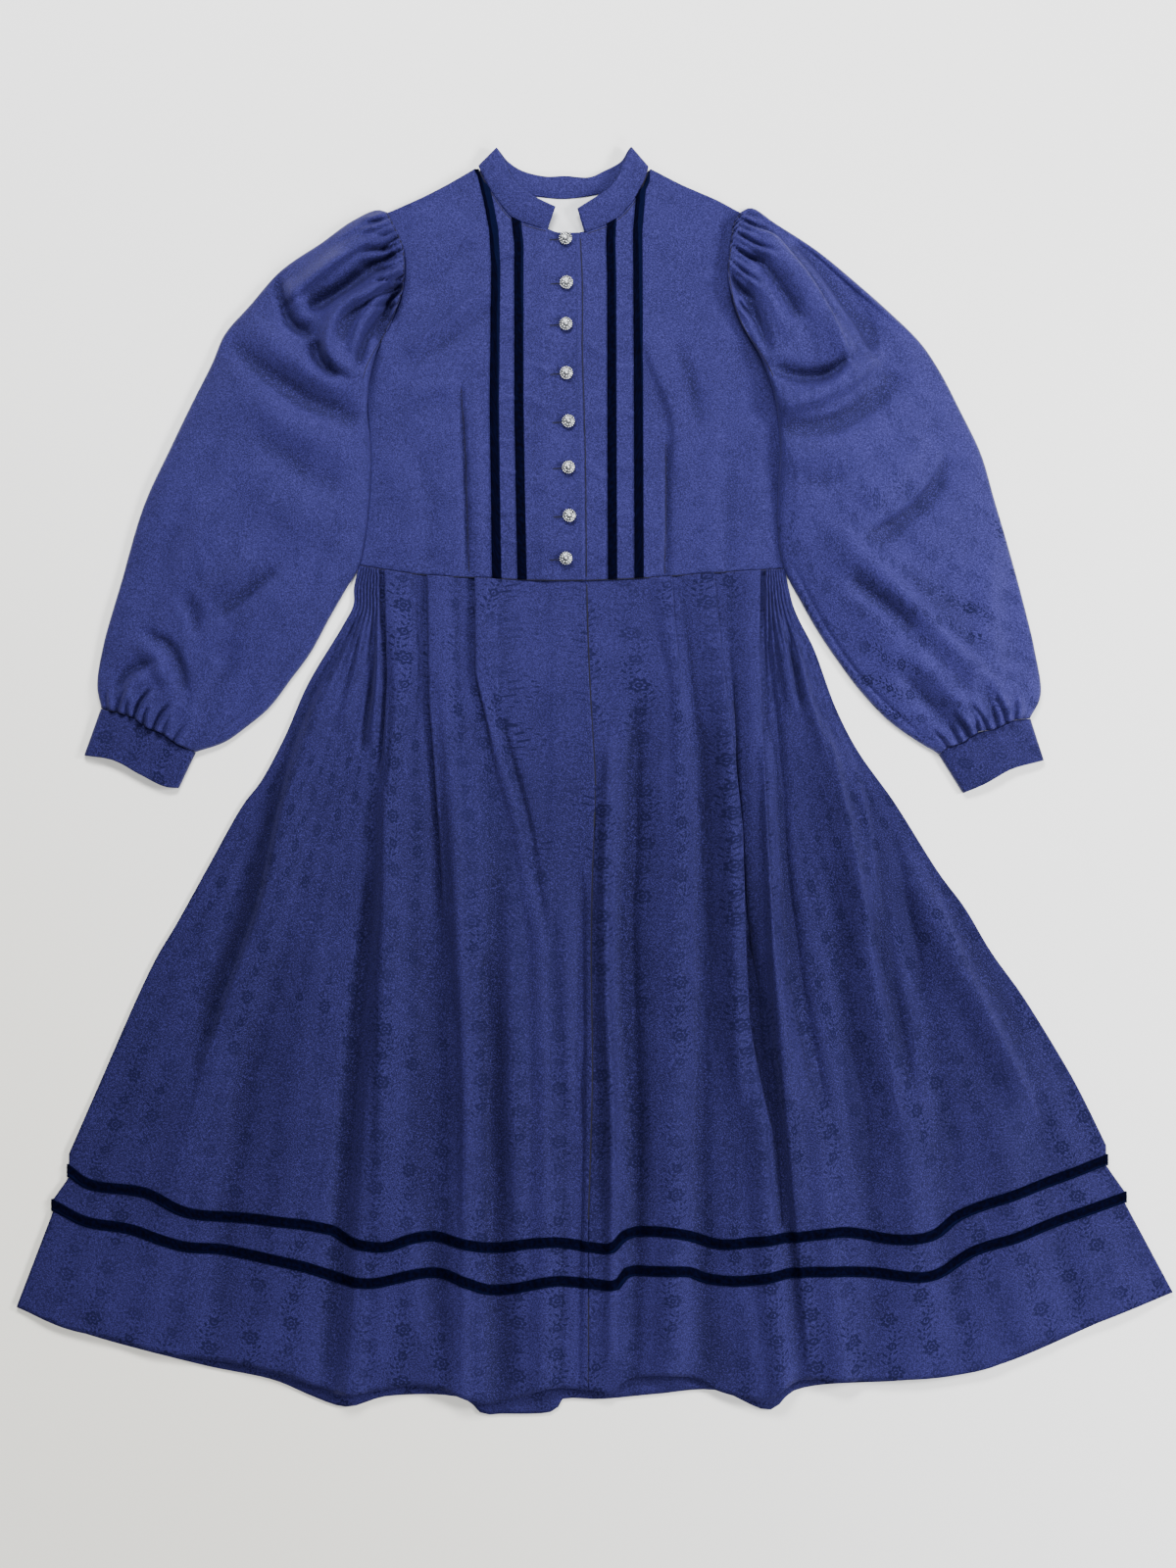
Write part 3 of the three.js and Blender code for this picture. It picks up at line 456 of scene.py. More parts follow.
def measured_map(points):
    """How far each point is along the cloth, across and down, in millimetres."""
    across = np.linalg.norm(np.diff(points, axis=1), axis=-1)
    down = np.linalg.norm(np.diff(points, axis=0), axis=-1)
    u = np.concatenate([np.zeros((len(points), 1)), np.cumsum(across, 1)], 1)
    v = np.concatenate([np.zeros((1, points.shape[1])), np.cumsum(down, 0)], 0)
    return np.stack([u, v], -1)


def times(factor, colour):
    return tuple(factor * c for c in colour)


def within(place, pitch):
    """A place counted from the middle of its own repeat."""
    return place % pitch - pitch / 2


def woven_sprig(weave):
    """1 on the figure of the twill: daisies on a wavy stem of dashes and small leaves."""
    across, along, _ = weave.place("cloth")
    lane = (across / SPRIG_STRIPE).floor()
    shifted = along + lane * SPRIG_REPEAT * SPRIG_SHIFT
    wander = weave.add("TexNoise", Vector=weave.joined(across, along), Scale=0.11, Detail=1.0) - 0.5
    x = within(across, SPRIG_STRIPE) + wander * 3.0
    y = within(shifted, SPRIG_REPEAT)
    stem = (y * (2 * math.pi / SPRIG_REPEAT)).sine() * STEM_SWING
    # a daisy in the middle of the repeat, with a ring of petals round an open centre
    reach = (x * x + y * y).root()
    turn = y.angle_to(x)
    petals = reach / ((turn * 3.5).cosine().size() * 0.34 + 0.66)
    centre = reach.rise(3.2, 2.4) * reach.rise(0.7, 1.3)
    daisy = petals.rise(8.2, 7.2) * petals.rise(4.2, 5.0) + centre
    # dashes along the stem, leaves on either side of it, and a bud half a repeat away
    off = (x - stem).size()
    dashes = off.rise(1.3, 0.7) * within(shifted, DASH_PITCH).size().rise(1.5, 1.0)
    dashes = dashes * reach.rise(8.0, 9.5)
    slant = within(shifted + off * 0.9, LEAF_PITCH).size()
    leaves = slant.rise(1.4, 0.8) * off.rise(2.2, 2.9) * off.rise(6.6, 5.8) * reach.rise(9.0, 11.0)
    dots = within(shifted, DOT_PITCH).size().rise(1.0, 0.6) * (off - 9.5).size().rise(1.0, 0.6)
    bud_y = within(shifted + SPRIG_REPEAT / 2, SPRIG_REPEAT)
    bud_reach = (x * x + bud_y * bud_y).root()
    bud = bud_reach.rise(4.3, 3.7) * bud_reach.rise(1.9, 2.5) + bud_reach.rise(1.0, 0.5)
    return (daisy + dashes + leaves + bud + dots * 0.8).under(1.0)


def sprig_twill(name, shade, gloss, show, middle_shade_amount=0.0):
    """Blue twill. Shade sets how light or dark it is painted for the light on its pieces, and show
    how clearly the sprig stands out there, also painted for the light; the last argument is how
    much painted shade darkens the middle of the skirt.
    """
    ground = times(shade, BLUE_GROUND)
    weave = Finish(
        name, Specular_IOR_Level=gloss, Specular_Tint=(0.33, 0.36, 1.0, 1),
        Sheen_Weight=0.06, Sheen_Roughness=0.5, Sheen_Tint=(0.38, 0.40, 0.95, 1),
    )
    east, north, up = weave.place()
    here = weave.joined(east, north, up)
    threads = weave.add("TexNoise", Vector=here, Scale=0.72, Detail=3.0, Roughness=0.85)
    patchy = weave.add("TexNoise", Vector=here, Scale=0.011, Detail=2.0)
    cloudy = weave.add("TexNoise", Vector=here, Scale=0.02, Detail=3.0)
    # the sprig is broken up by the threads; it is painted uneven in patches and fainter towards the
    # shoulders, where the light shows the figure less
    sprig = woven_sprig(weave) * threads.rise(0.30, 0.42) * (0.45 + patchy.rise(0.4, 0.6) * 0.55)
    sprig = sprig * (0.4 + north.rise(360, 200) * 0.6) * show
    # the ground is cloudy, with painted shade over the middle of the skirt and down in the hollows of
    # the folds
    # painted shade over the middle of the skirt
    painted_middle_shade = north.rise(130, -40) * north.rise(-620, -330) * middle_shade_amount
    hollow = weave.add("Attribute", {"attribute_name": "hollow"}, output=2).rise(0.0, 1.0)
    colour = weave.colours(cloudy.rise(0.3, 0.7), times(0.88, ground), times(1.12, ground))
    # the first two rows are painted shade, over the skirt's middle and down in hollows; the others
    # are the threads' own dark and light flecks
    for share, factor in (
        (painted_middle_shade, 0.15),
        (hollow * 0.8, 0.2),
        (threads.rise(0.53, 0.36) * 0.78, 0.3),
        (threads.rise(0.5, 0.62) * 0.74, 2.2),
    ):
        colour = weave.colours(share, colour, times(factor, ground))
    colour = weave.colours(sprig * 0.95, colour, BLUE_FIGURE)
    twill = ((east + north) * (2 * math.pi / TWILL_PITCH)).sine()
    height = twill * 0.4 + threads * 4.2 - sprig * 1.8
    return weave.to(
        Base_Color=colour,
        Roughness=0.42 + sprig * 0.30 + threads * 0.12,
        Normal=weave.bumped(height, 0.00030, 0.5),
    )


# One twill in three copies, painted for the light: darkest on the skirt and cuffs, middle on the
# bodice, collar and one sleeve, lightest on the sleeve on the lit side
shaded_dress_twill = sprig_twill("shaded_dress_twill", shade=0.86, gloss=0.16, show=0.85, middle_shade_amount=0.40)
bodice_twill = sprig_twill("bodice_twill", shade=0.98, gloss=0.2, show=0.3)
lit_sleeve_twill = sprig_twill("lit_sleeve_twill", shade=1.14, gloss=0.26, show=1.0)


def dress_piece(piece, node, material=shaded_dress_twill):
    piece.data.materials.append(material)
    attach(piece, "root")
    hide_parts(node)
    return piece


WAIST_RIGHT = [(597, 592.5), (550, 592.3), (502, 590.3), (436, 587), (392, 581.5), (366.5, 577)]
WAIST_LEFT = [(597, 592.5), (655, 590), (705, 586.5), (746, 583.5), (800.5, 580.5)]
ARMHOLE_RIGHT = [
    (394.5, 218), (404, 237), (411, 253), (413, 271), (412, 288), (408, 307), (400, 326),
    (389, 348), (376, 376), (371.5, 391),
]
ARMHOLE_LEFT = [
    (756, 218), (749, 230), (746, 248), (744.5, 263), (743, 276), (747, 306), (756, 331),
    (771, 356), (781, 372), (789, 389),
]
SIDE_RIGHT = [
    (371.5, 391), (374, 421), (377, 455), (377, 488), (375, 521), (371, 554), (366.5, 577),
]
SIDE_LEFT = [
    (789, 389), (796, 430), (798, 463), (796, 496), (795, 529), (797, 562), (800.5, 580.5),
]
SHOULDER_RIGHT = [(487, 172.5), (454, 191), (419, 208), (394.5, 218)]
SHOULDER_LEFT = [(663, 173.5), (696, 190), (731, 205), (756, 218)]
NECK_RIGHT = [(591, 239), (559.5, 238), (531, 230), (520, 224), (499, 195), (487, 172.5)]
NECK_LEFT = [
    (562, 240), (598, 240.5), (619, 233), (632, 225), (648, 207), (658, 189), (663, 173.5),
]
FRONT_EDGE_RIGHT = [(591, 239), (593, 294), (593, 357), (596, 470), (597, 592.5)]
FRONT_EDGE_LEFT = [(562, 240), (564, 357), (565, 592.5)]
RIBBON_WIDTH = 9.4
HEM_RIBBON_WIDTH = 10.6
RIBBON_LINES = {
    "right_outer": [
        (175, 489), (180, 492), (204, 498), (235, 504), (270, 506), (415, 504.5), (592, 507),
    ],
    "right_inner": [(227, 527), (250, 529.5), (415, 529.7), (498, 531), (594, 533)],
    "left_inner": [(229, 624), (247, 623), (281, 624), (484, 624.5), (594, 625)],
    "left_outer": [(186, 658), (195, 654), (237, 650.5), (339, 651), (592, 652)],
}
# height, width, lean, path
BODICE_FOLDS = [
    # chest folds that run from the armhole towards the dart, then the dart itself
    (2.6, 10, 0.5, [(412, 356), (446, 336), (474, 312), (498, 290)]),
    (-2.2, 8, 0, [(418, 374), (452, 352), (482, 328), (500, 314)]),
    (1.9, 11, 0, [(418, 406), (446, 398), (468, 392)]),
    (-1.8, 9, 0, [(425, 300), (450, 282), (480, 250)]),
    (1.4, 12, 0, [(400, 470), (415, 520), (405, 570)]),
    (-1.3, 9, 0, [(430, 470), (440, 520), (436, 578)]),
    (-3.4, 3.0, 0.6, [(471, 396), (476, 480), (478, 586)]),
    (1.2, 6, 0, [(484, 400), (487, 500), (488, 580)]),
    (-3.4, 3.0, -0.6, [(679, 455), (679, 520), (678, 588)]),
    (3.2, 12, -0.6, [(655, 346), (672, 384), (688, 430), (690, 480)]),
    (-2.0, 9, 0, [(690, 350), (704, 392), (714, 440)]),
    (1.6, 14, 0, [(735, 300), (735, 360), (722, 430)]),
    (1.4, 11, 0, [(770, 440), (772, 500), (765, 570)]),
    (-1.2, 10, 0, [(748, 460), (742, 520), (740, 575)]),
    # small puckers where the ribbons are sewn on
    (0.9, 2.6, 0.4, [(509, 262), (518, 259), (527, 262)]),
    (0.8, 2.4, 0.4, [(509, 310), (518, 314), (527, 312)]),
    (1.0, 2.6, 0.4, [(508, 348), (518, 343), (528, 347)]),
    (0.9, 2.4, 0.4, [(509, 384), (519, 388), (527, 385)]),
    (1.0, 2.8, 0.4, [(508, 410), (519, 406), (528, 409)]),
    (0.9, 2.4, 0.4, [(508, 448), (518, 452), (528, 449)]),
    (1.0, 2.6, 0.4, [(509, 486), (519, 481), (528, 484)]),
    (0.8, 2.4, 0.4, [(509, 520), (519, 524), (528, 521)]),
    (0.8, 2.4, 0.4, [(509, 556), (519, 552), (528, 555)]),
    (0.9, 2.6, 0.4, [(627, 276), (637, 280), (648, 277)]),
    (0.8, 2.4, 0.4, [(628, 322), (638, 318), (648, 321)]),
    (1.0, 2.6, 0.4, [(628, 372), (637, 377), (648, 374)]),
    (0.9, 2.4, 0.4, [(628, 426), (638, 421), (648, 425)]),
    (0.9, 2.6, 0.4, [(628, 474), (638, 478), (648, 475)]),
    (0.8, 2.4, 0.4, [(628, 528), (638, 524), (648, 527)]),
    # soft hollows that the buttons pull into the front edge
    (1.2, 4.0, 0.5, [(534, 402), (546, 408), (556, 416)]),
    (1.2, 4.0, 0.5, [(535, 448), (546, 442), (560, 432)]),
    (1.0, 4.0, 0.4, [(540, 372), (552, 376), (564, 383)]),
    (1.0, 4.0, 0.4, [(540, 498), (552, 492), (566, 482)]),
    (1.1, 4.0, 0.4, [(596, 348), (606, 356), (618, 362)]),
    (1.1, 4.0, 0.4, [(598, 432), (608, 424), (620, 418)]),
    (1.0, 4.0, 0.4, [(598, 472), (608, 482), (620, 488)]),
]


BODICE_ROWS = 210
BODICE_COUNTS = [22, 6, 10, 6, 46]
CHEST_SWELL = 3.4
SIDE_SWELL = 1.2
BODICE_FOLD_GAIN = 1.5


def bodice_level(xy, u, v, lapped):
    """Height of a front: swelling over the chest, low at the waist seam, still at its side edge."""
    swell = CHEST_SWELL * (1 - ease(0.55, 1, u)) + SIDE_SWELL * ease(0, 0.12, 1 - u)
    swell = swell * (0.3 + 0.7 * ease(0, 0.12, 1 - v))
    pucker = uneven(xy, scale=34, height=0.8, seed=3.0) + uneven(xy, scale=13, height=0.32, seed=5.0)
    folds = (BODICE_FOLD_GAIN * creases(xy, BODICE_FOLDS) + pucker) * ease(0, 0.03, 1 - u)
    return FRONT_LEVEL + swell + lapped + folds


def columns_between(knots, counts):
    """Values of u from knot to knot, so many to each stretch."""
    stretches = [np.linspace(a, b, n, endpoint=False) for a, b, n in zip(knots, knots[1:], counts)]
    return np.concatenate([*stretches, knots[-1:]])


def bodice_front(edges, lines, side, lap):
    """A front whose columns of points follow the edges of its two ribbons."""
    rows = []
    for v in np.linspace(0, 1, BODICE_ROWS + 1):
        knots = [0.0, *(crossing(edges, v, line, side) for line in lines), 1.0]
        u = columns_between(knots, BODICE_COUNTS)
        xy = edges(u, np.full_like(u, v))
        rows.append(np.column_stack([xy, u, np.full_like(u, v)]))
    grid = np.array(rows)
    level = bodice_level(grid[..., :2], grid[..., 2], grid[..., 3], lap(grid[..., 0]))
    points = np.concatenate([grid[..., :2], level[..., None]], -1)
    return points if side > 0 else points[:, ::-1]


def ribbon_edges(name, side):
    """The two edges of a bodice ribbon, the one nearer the buttons first."""
    line = lengthwise(RIBBON_LINES[name])
    return [lambda y, k=k: line(y) + k * RIBBON_WIDTH / 2 for k in (-side, side)]


COLLAR_COVERS = 3.2
NECK_ENDS = 0.5


def under_collar(edge, start):
    """The neck edge carried a little up behind the collar, from where the collar begins."""
    def moved(t):
        share = ease(start * 0.55, start, t) * (1 - ease(NECK_ENDS - 0.04, NECK_ENDS, t))
        return edge(t) + COLLAR_COVERS * share[..., None] * np.array([0.0, 1.0])
    return moved


def button_lap(x):
    """The right front steps up over the edge of the left one, and once more near its own edge."""
    return LAP_STEP * ease(-65, -48, x) + EDGE_STEP * ease(-22, -14, x)


upper_front = bodice_front(
    patch_between(
        under_collar(trace(NECK_RIGHT, SHOULDER_RIGHT), 0.15),
        below(trace(WAIST_RIGHT), -SEAM / 2),
        trace(FRONT_EDGE_RIGHT),
        trace(ARMHOLE_RIGHT, SIDE_RIGHT),
    ),
    ribbon_edges("right_inner", -1) + ribbon_edges("right_outer", -1),
    -1, button_lap,
)
lower_front = bodice_front(
    patch_between(
        under_collar(trace(NECK_LEFT, SHOULDER_LEFT), 0.14),
        below(trace([(565, 592.5), (597, 592.5)], WAIST_LEFT), -SEAM / 2),
        trace(FRONT_EDGE_LEFT),
        trace(ARMHOLE_LEFT, SIDE_LEFT),
    ),
    ribbon_edges("left_inner", 1) + ribbon_edges("left_outer", 1),
    1, lambda x: 0 * x,
)


def straight_map(points):
    """The cloth map of a panel whose threads run straight down the dress."""
    return points[..., :2] * (1, -1) + (900, 900)


front_right = dress_piece(
    cloth_sheet("bodice_front_right_cloth", upper_front, straight_map(upper_front)),
    "bodice_front_right", material=bodice_twill,
)
front_left = dress_piece(
    cloth_sheet("bodice_front_left_cloth", lower_front, straight_map(lower_front)),
    "bodice_front_left", material=bodice_twill,
)

# ---------------------------------------------------------------- velvet ribbons of the bodice
# Four narrow velvet ribbons, near black, sewn flat down the fronts from neck and shoulder seam to
# the waist seam.
RIBBON_THICKNESS = 0.9
RIBBON_GAP = 0.15
RIBBON_CROWN = 0.35


def velvet_pile():
    pile = Finish(
        "velvet_pile", Specular_IOR_Level=0.02,
        Sheen_Weight=0.03, Sheen_Roughness=0.3, Sheen_Tint=(0.25, 0.3, 0.75, 1),
    )
    across, along, _ = pile.place("cloth")
    nap = pile.add("TexNoise", Vector=pile.joined(across, along), Scale=0.25, Detail=3.0)
    tufts = pile.add("TexNoise", Vector=pile.joined(across, along), Scale=1.8, Detail=1.0)
    selvedge = (across - RIBBON_WIDTH / 2).size().rise(4.1, 4.6)
    colour = pile.colours(nap.rise(0.35, 0.7), (0.0003, 0.0004, 0.0035), (0.0010, 0.0012, 0.010))
    colour = pile.colours(selvedge * 0.3, colour, (0.004, 0.006, 0.034))
    return pile.to(
        Base_Color=colour,
        Roughness=0.85 + nap * 0.12,
        Normal=pile.bumped(tufts, 0.0002, 0.5),
    )


velvet = velvet_pile()


def ribbon_on(panel, place, first):
    """A ribbon made from a panel's own points, moved out so that it lies on the panel."""
    columns = slice(first, first + BODICE_COUNTS[1] + 1)
    out = normals_of(panel)[:, columns]
    base = panel[:, columns]
    crown = RIBBON_CROWN * np.sin(np.pi * np.linspace(0, 1, base.shape[1]))
    points = base + out * (CLOTH / 2 + RIBBON_GAP + RIBBON_THICKNESS / 2) + out * crown[None, :, None]
    piece = cloth_sheet(f"velvet_{place}", points, measured_map(points), RIBBON_THICKNESS)
    return dress_piece(piece, f"ribbon_{place}", material=velvet)


bodice_ribbons = {}
for side, panel in (("right", upper_front), ("left", lower_front)):
    for place, first in (("inner", BODICE_COUNTS[0]), ("outer", sum(BODICE_COUNTS[:3]))):
        if side == "right":
            # this front's columns run the other way, towards the buttons
            first = panel.shape[1] - 1 - first - BODICE_COUNTS[1]
        bodice_ribbons[f"{side}_{place}"] = ribbon_on(panel, f"{side}_{place}", first)

# ---------------------------------------------------------------- bodice back and lining
# The back is one piece of the same twill, flat on the table. Its white cotton lining is seen only
# inside the neck, above the buttoned edge.
NECK_BACK = [
    (487, 172.5), (500, 187), (533.5, 198), (577, 203.5), (625, 195), (650, 187), (663, 173.5),
]
BACK_INSET = 3.0
LINING = 0.8
LINING_LEVEL = CLOTH + SEAM + 0.4
COTTON_PITCH = 0.9
back_waist = trace(WAIST_RIGHT[::-1], WAIST_LEFT)
back_outline = patch_between(
    trace(SHOULDER_RIGHT[::-1], NECK_BACK, SHOULDER_LEFT),
    below(back_waist, -SEAM),
    trace(ARMHOLE_RIGHT, SIDE_RIGHT),
    trace(ARMHOLE_LEFT, SIDE_LEFT),
)


def level_grid(patch, rows, columns, level):
    """Points of a patch that lies flat at one level, and how far across it each one is."""
    u, v = np.meshgrid(np.linspace(0, 1, columns + 1), np.linspace(0, 1, rows + 1))
    xy = patch(u, v)
    return np.concatenate([xy, np.full((*u.shape, 1), level)], -1), u


back_points, back_u = level_grid(back_outline, rows=50, columns=60, level=BACK_LEVEL)
back_points[..., 0] += BACK_INSET * (1 - 2 * back_u)
bodice_back = dress_piece(
    cloth_sheet("bodice_back_cloth", back_points, straight_map(back_points)),
    "bodice_back", material=bodice_twill,
)


def white_cotton():
    cotton = Finish("white_cotton", Sheen_Weight=0.1)
    x, y, _ = cotton.place("cloth")
    threads = (x * 2 * math.pi / COTTON_PITCH).sine() * (y * 2 * math.pi / COTTON_PITCH).sine()
    slub = cotton.add("TexNoise", Vector=cotton.joined(x, y * 0.2), Scale=0.6, Detail=2.0)
    colour = cotton.colours(slub, (0.66, 0.68, 0.71), (0.78, 0.79, 0.81))
    return cotton.to(
        Base_Color=colour,
        Roughness=0.8 + slub * 0.1,
        Normal=cotton.bumped(threads + slub, 0.0001, 0.4),
    )


lining_patch = patch_across(
    trace([(538, 198), (577, 201), (620, 196)]),
    trace([(552, 262), (580, 263), (606, 262)]),
)
lining_points, _ = level_grid(lining_patch, rows=24, columns=30, level=LINING_LEVEL)
# it rises a little towards the neck
lining_points[..., 2] += 0.5 * ease(0, 1, (lining_points[..., 1] - 560) / 20)
back_lining = dress_piece(
    cloth_sheet("back_lining_cotton", lining_points, straight_map(lining_points), LINING),
    "back_lining", material=white_cotton(),
)

# ---------------------------------------------------------------- stand collar
# One band of two layers, standing up from the neck seam. On the laid dress its front ends lean in
# over the neck and its back lies flat, showing the inside.
COLLAR_CLOTH = 1.6
COLLAR_ROWS = 15
# x, y on the layout sheet and height, at the sewn edge and at the free edge
COLLAR = [
    ((558.5, 237, 7.6), (567, 213, 11.5)),
    ((545, 232.5, 7.4), (552, 206, 12)),
    ((530.5, 228, 7.2), (541, 200, 12)),
    ((520, 222, 7.0), (531, 193, 12)),
    ((508, 207, 6.8), (522, 182, 12)),
    ((498, 192, 6.6), (515, 167, 11.5)),
    ((488.5, 172, 6.0), (507.5, 153.5, 10)),
    ((493.5, 174, 3.0), (510.5, 156, 4.6)),
    ((507, 185.5, 1.6), (519, 166, 2.6)),
    ((533.5, 198.8, 2.7), (534, 175.5, 3.4)),
    ((556, 202.8, 2.8), (557, 181, 3.8)),
    ((577, 204.2, 2.8), (578, 180.5, 4.0)),
    ((601, 201.2, 2.8), (600, 182, 3.8)),
    ((625, 195.6, 2.7), (615, 176, 3.4)),
    ((645, 185.5, 1.6), (633, 166, 2.6)),
    ((656.5, 175, 3.0), (640.5, 155, 4.6)),
    ((661.5, 172.5, 6.0), (643.5, 152.5, 10)),
    ((656.5, 188, 6.4), (639, 163, 11.2)),
    ((647, 205.5, 6.6), (632, 179, 11.6)),
    ((631, 223.5, 6.8), (624, 192, 12)),
    ((618.5, 231.5, 6.8), (611, 201, 12)),
    ((596.5, 239.2, 6.8), (589, 215, 11.5)),
]


def smooth_stations(rows, spans):
    """The stations' points with smooth curves between them, three coordinates at a time."""
    p = np.array(rows, float)
    p = np.vstack([2 * p[0] - p[1], p, 2 * p[-1] - p[-2]])
    t = np.linspace(0, 1, spans, endpoint=False)[:, None]
    stretches = []
    for a, b, c, d in zip(p, p[1:], p[2:], p[3:]):
        square = 2 * a - 5 * b + 4 * c - d
        cube = 3 * b - a - 3 * c + d
        stretches.append(0.5 * (2 * b + (c - a) * t + square * t ** 2 + cube * t ** 3))
    return np.vstack([*stretches, p[-2:-1]])


def collar_band():
    sewn = smooth_stations([station[0] for station in COLLAR], 8)
    free = smooth_stations([station[1] for station in COLLAR], 8)
    t = np.linspace(0.02, 1, COLLAR_ROWS)[:, None, None]
    points = sewn[None] * (1 - t) + free[None] * t
    points[..., 0] -= SHEET_X
    points[..., 1] = SHEET_Y - points[..., 1]
    wavy = uneven(points[..., :2], scale=16, height=0.5, seed=9.0)
    points[..., 2] += 0.5 * np.sin(np.pi * t[..., 0]) + wavy
    return points[:, ::-1]


collar_points = collar_band()
collar = dress_piece(
    cloth_sheet("collar_band", collar_points, measured_map(collar_points), COLLAR_CLOTH),
    "collar", material=bodice_twill,
)

# ---------------------------------------------------------------- sleeves
# Full one-piece sleeves, gathered into the armhole at the head and into the cuff at the wrist. Each
# lies as a flattened tube, flat underneath and puffed on top, with the folds pressed into it.
SLEEVE_RIGHT = {
    "head": ARMHOLE_RIGHT,
    "outer": [
        (393.4, 216.6), (384, 214), (357, 226), (328, 247), (286, 276), (254, 312), (229, 341),
        (216, 371), (195, 413), (174, 457), (147, 516), (124, 595), (106, 659), (100, 700),
        (104.5, 723),
    ],
    "inner": [
        (369, 392), (371.5, 425), (375, 455), (375, 500), (369.5, 554), (364, 579), (351, 602),
        (335, 630), (315, 667), (296, 693), (274, 722), (253, 740), (229, 757), (200, 767),
    ],
    "wrist": [
        (104.5, 723), (121, 727), (139, 733), (151, 742), (168, 749), (182, 759), (200, 767),
    ],
    # height, width, lean, path
    "folds": [
        # the puffed head: a big ridge, the hollow under it and the folds hanging from the armhole
        (14.0, 8, 0.6, [(410, 234), (384, 244), (352, 264), (326, 284), (298, 306)]),
        (-17.0, 9, 0.2, [(402, 258), (374, 280), (346, 300), (316, 318)]),
        (6.0, 7, 0.4, [(402, 216), (376, 226), (344, 246)]),
        (-6.0, 6, 0, [(404, 236), (372, 250), (350, 262)]),
        (13.0, 6, 0.5, [(413, 274), (398, 288), (378, 304), (352, 318), (340, 340), (338, 368)]),
        (-15.0, 5, 0.3, [(412, 292), (400, 306), (394, 326), (388, 352)]),
        (7.0, 7, 0, [(404, 304), (384, 318), (370, 336), (362, 362)]),
        (-9.0, 6, -0.3, [(398, 316), (384, 332), (374, 348), (366, 376)]),
        (6.0, 8, -0.5, [(336, 350), (344, 374), (362, 384)]),
        (-13.0, 6, -0.4, [(280, 282), (288, 310), (298, 334), (316, 344)]),
        (6.0, 9, 0.3, [(294, 290), (308, 314), (322, 326)]),
        (-9.0, 7, 0, [(322, 352), (330, 374), (346, 386)]),
        # the slanting hollows across the arm below it
        (4.5, 14, 0.2, [(246, 318), (282, 352), (320, 382), (352, 398)]),
        (-7.5, 14, -0.1, [(232, 346), (268, 380), (310, 408), (348, 424), (366, 434)]),
        (3.0, 20, 0.1, [(230, 380), (270, 416), (320, 448), (364, 470)]),
        (-3.4, 18, 0, [(262, 440), (304, 474), (352, 504)]),
        (1.8, 22, 0, [(250, 480), (300, 520), (350, 548)]),
        # above the cuff
        (-4.6, 8, 0.4, [(284, 584), (256, 606), (226, 630)]),
        (2.4, 14, -0.2, [(300, 592), (272, 624), (240, 660)]),
        (3.0, 12, 0, [(262, 570), (228, 596), (202, 618)]),
        (-3.0, 8, 0, [(190, 612), (200, 628), (202, 650)]),
        (-4.5, 7, 0.4, [(150, 646), (174, 658), (188, 684), (192, 706)]),
        (4.0, 9, -0.2, [(142, 658), (160, 674), (172, 700)]),
        (-5.0, 6, 0.3, [(164, 674), (134, 686), (122, 706)]),
        (4.5, 7, 0, [(150, 690), (134, 700), (128, 716)]),
        (-2.5, 16, 0, [(188, 520), (166, 570), (146, 622)]),
        (2.5, 20, 0, [(226, 500), (200, 556), (180, 600)]),
        (-2.4, 12, 0, [(240, 668), (222, 700), (196, 726)]),
        (2.6, 12, 0, [(222, 672), (204, 704), (186, 730)]),
        (-3.2, 2.6, 0.3, [(360, 584), (304, 668), (256, 722), (216, 754)]),
    ],
    # where on the seam, how long, which way (degrees, 0 right, 90 up), height
    "head_gathers": [
        (0.01, 24, 202, 3.0), (0.05, 34, 208, 3.8), (0.09, 24, 204, 3.0), (0.13, 38, 210, 4.2),
        (0.165, 24, 206, 3.0), (0.20, 44, 208, 4.2), (0.235, 26, 206, 3.2), (0.27, 36, 204, 4.0),
        (0.305, 24, 200, 3.2), (0.34, 34, 206, 4.2), (0.375, 26, 214, 3.2), (0.41, 40, 224, 4.0),
        (0.45, 30, 232, 3.0), (0.50, 36, 240, 2.6),
    ],
    "wrist_gathers": [
        (0.10, 20, 100, 1.6), (0.20, 26, 74, 2.2), (0.30, 18, 96, 1.6), (0.38, 34, 70, 2.4),
        (0.50, 22, 88, 1.8), (0.60, 30, 66, 2.2), (0.70, 18, 80, 1.5), (0.82, 24, 60, 1.6),
    ],
}
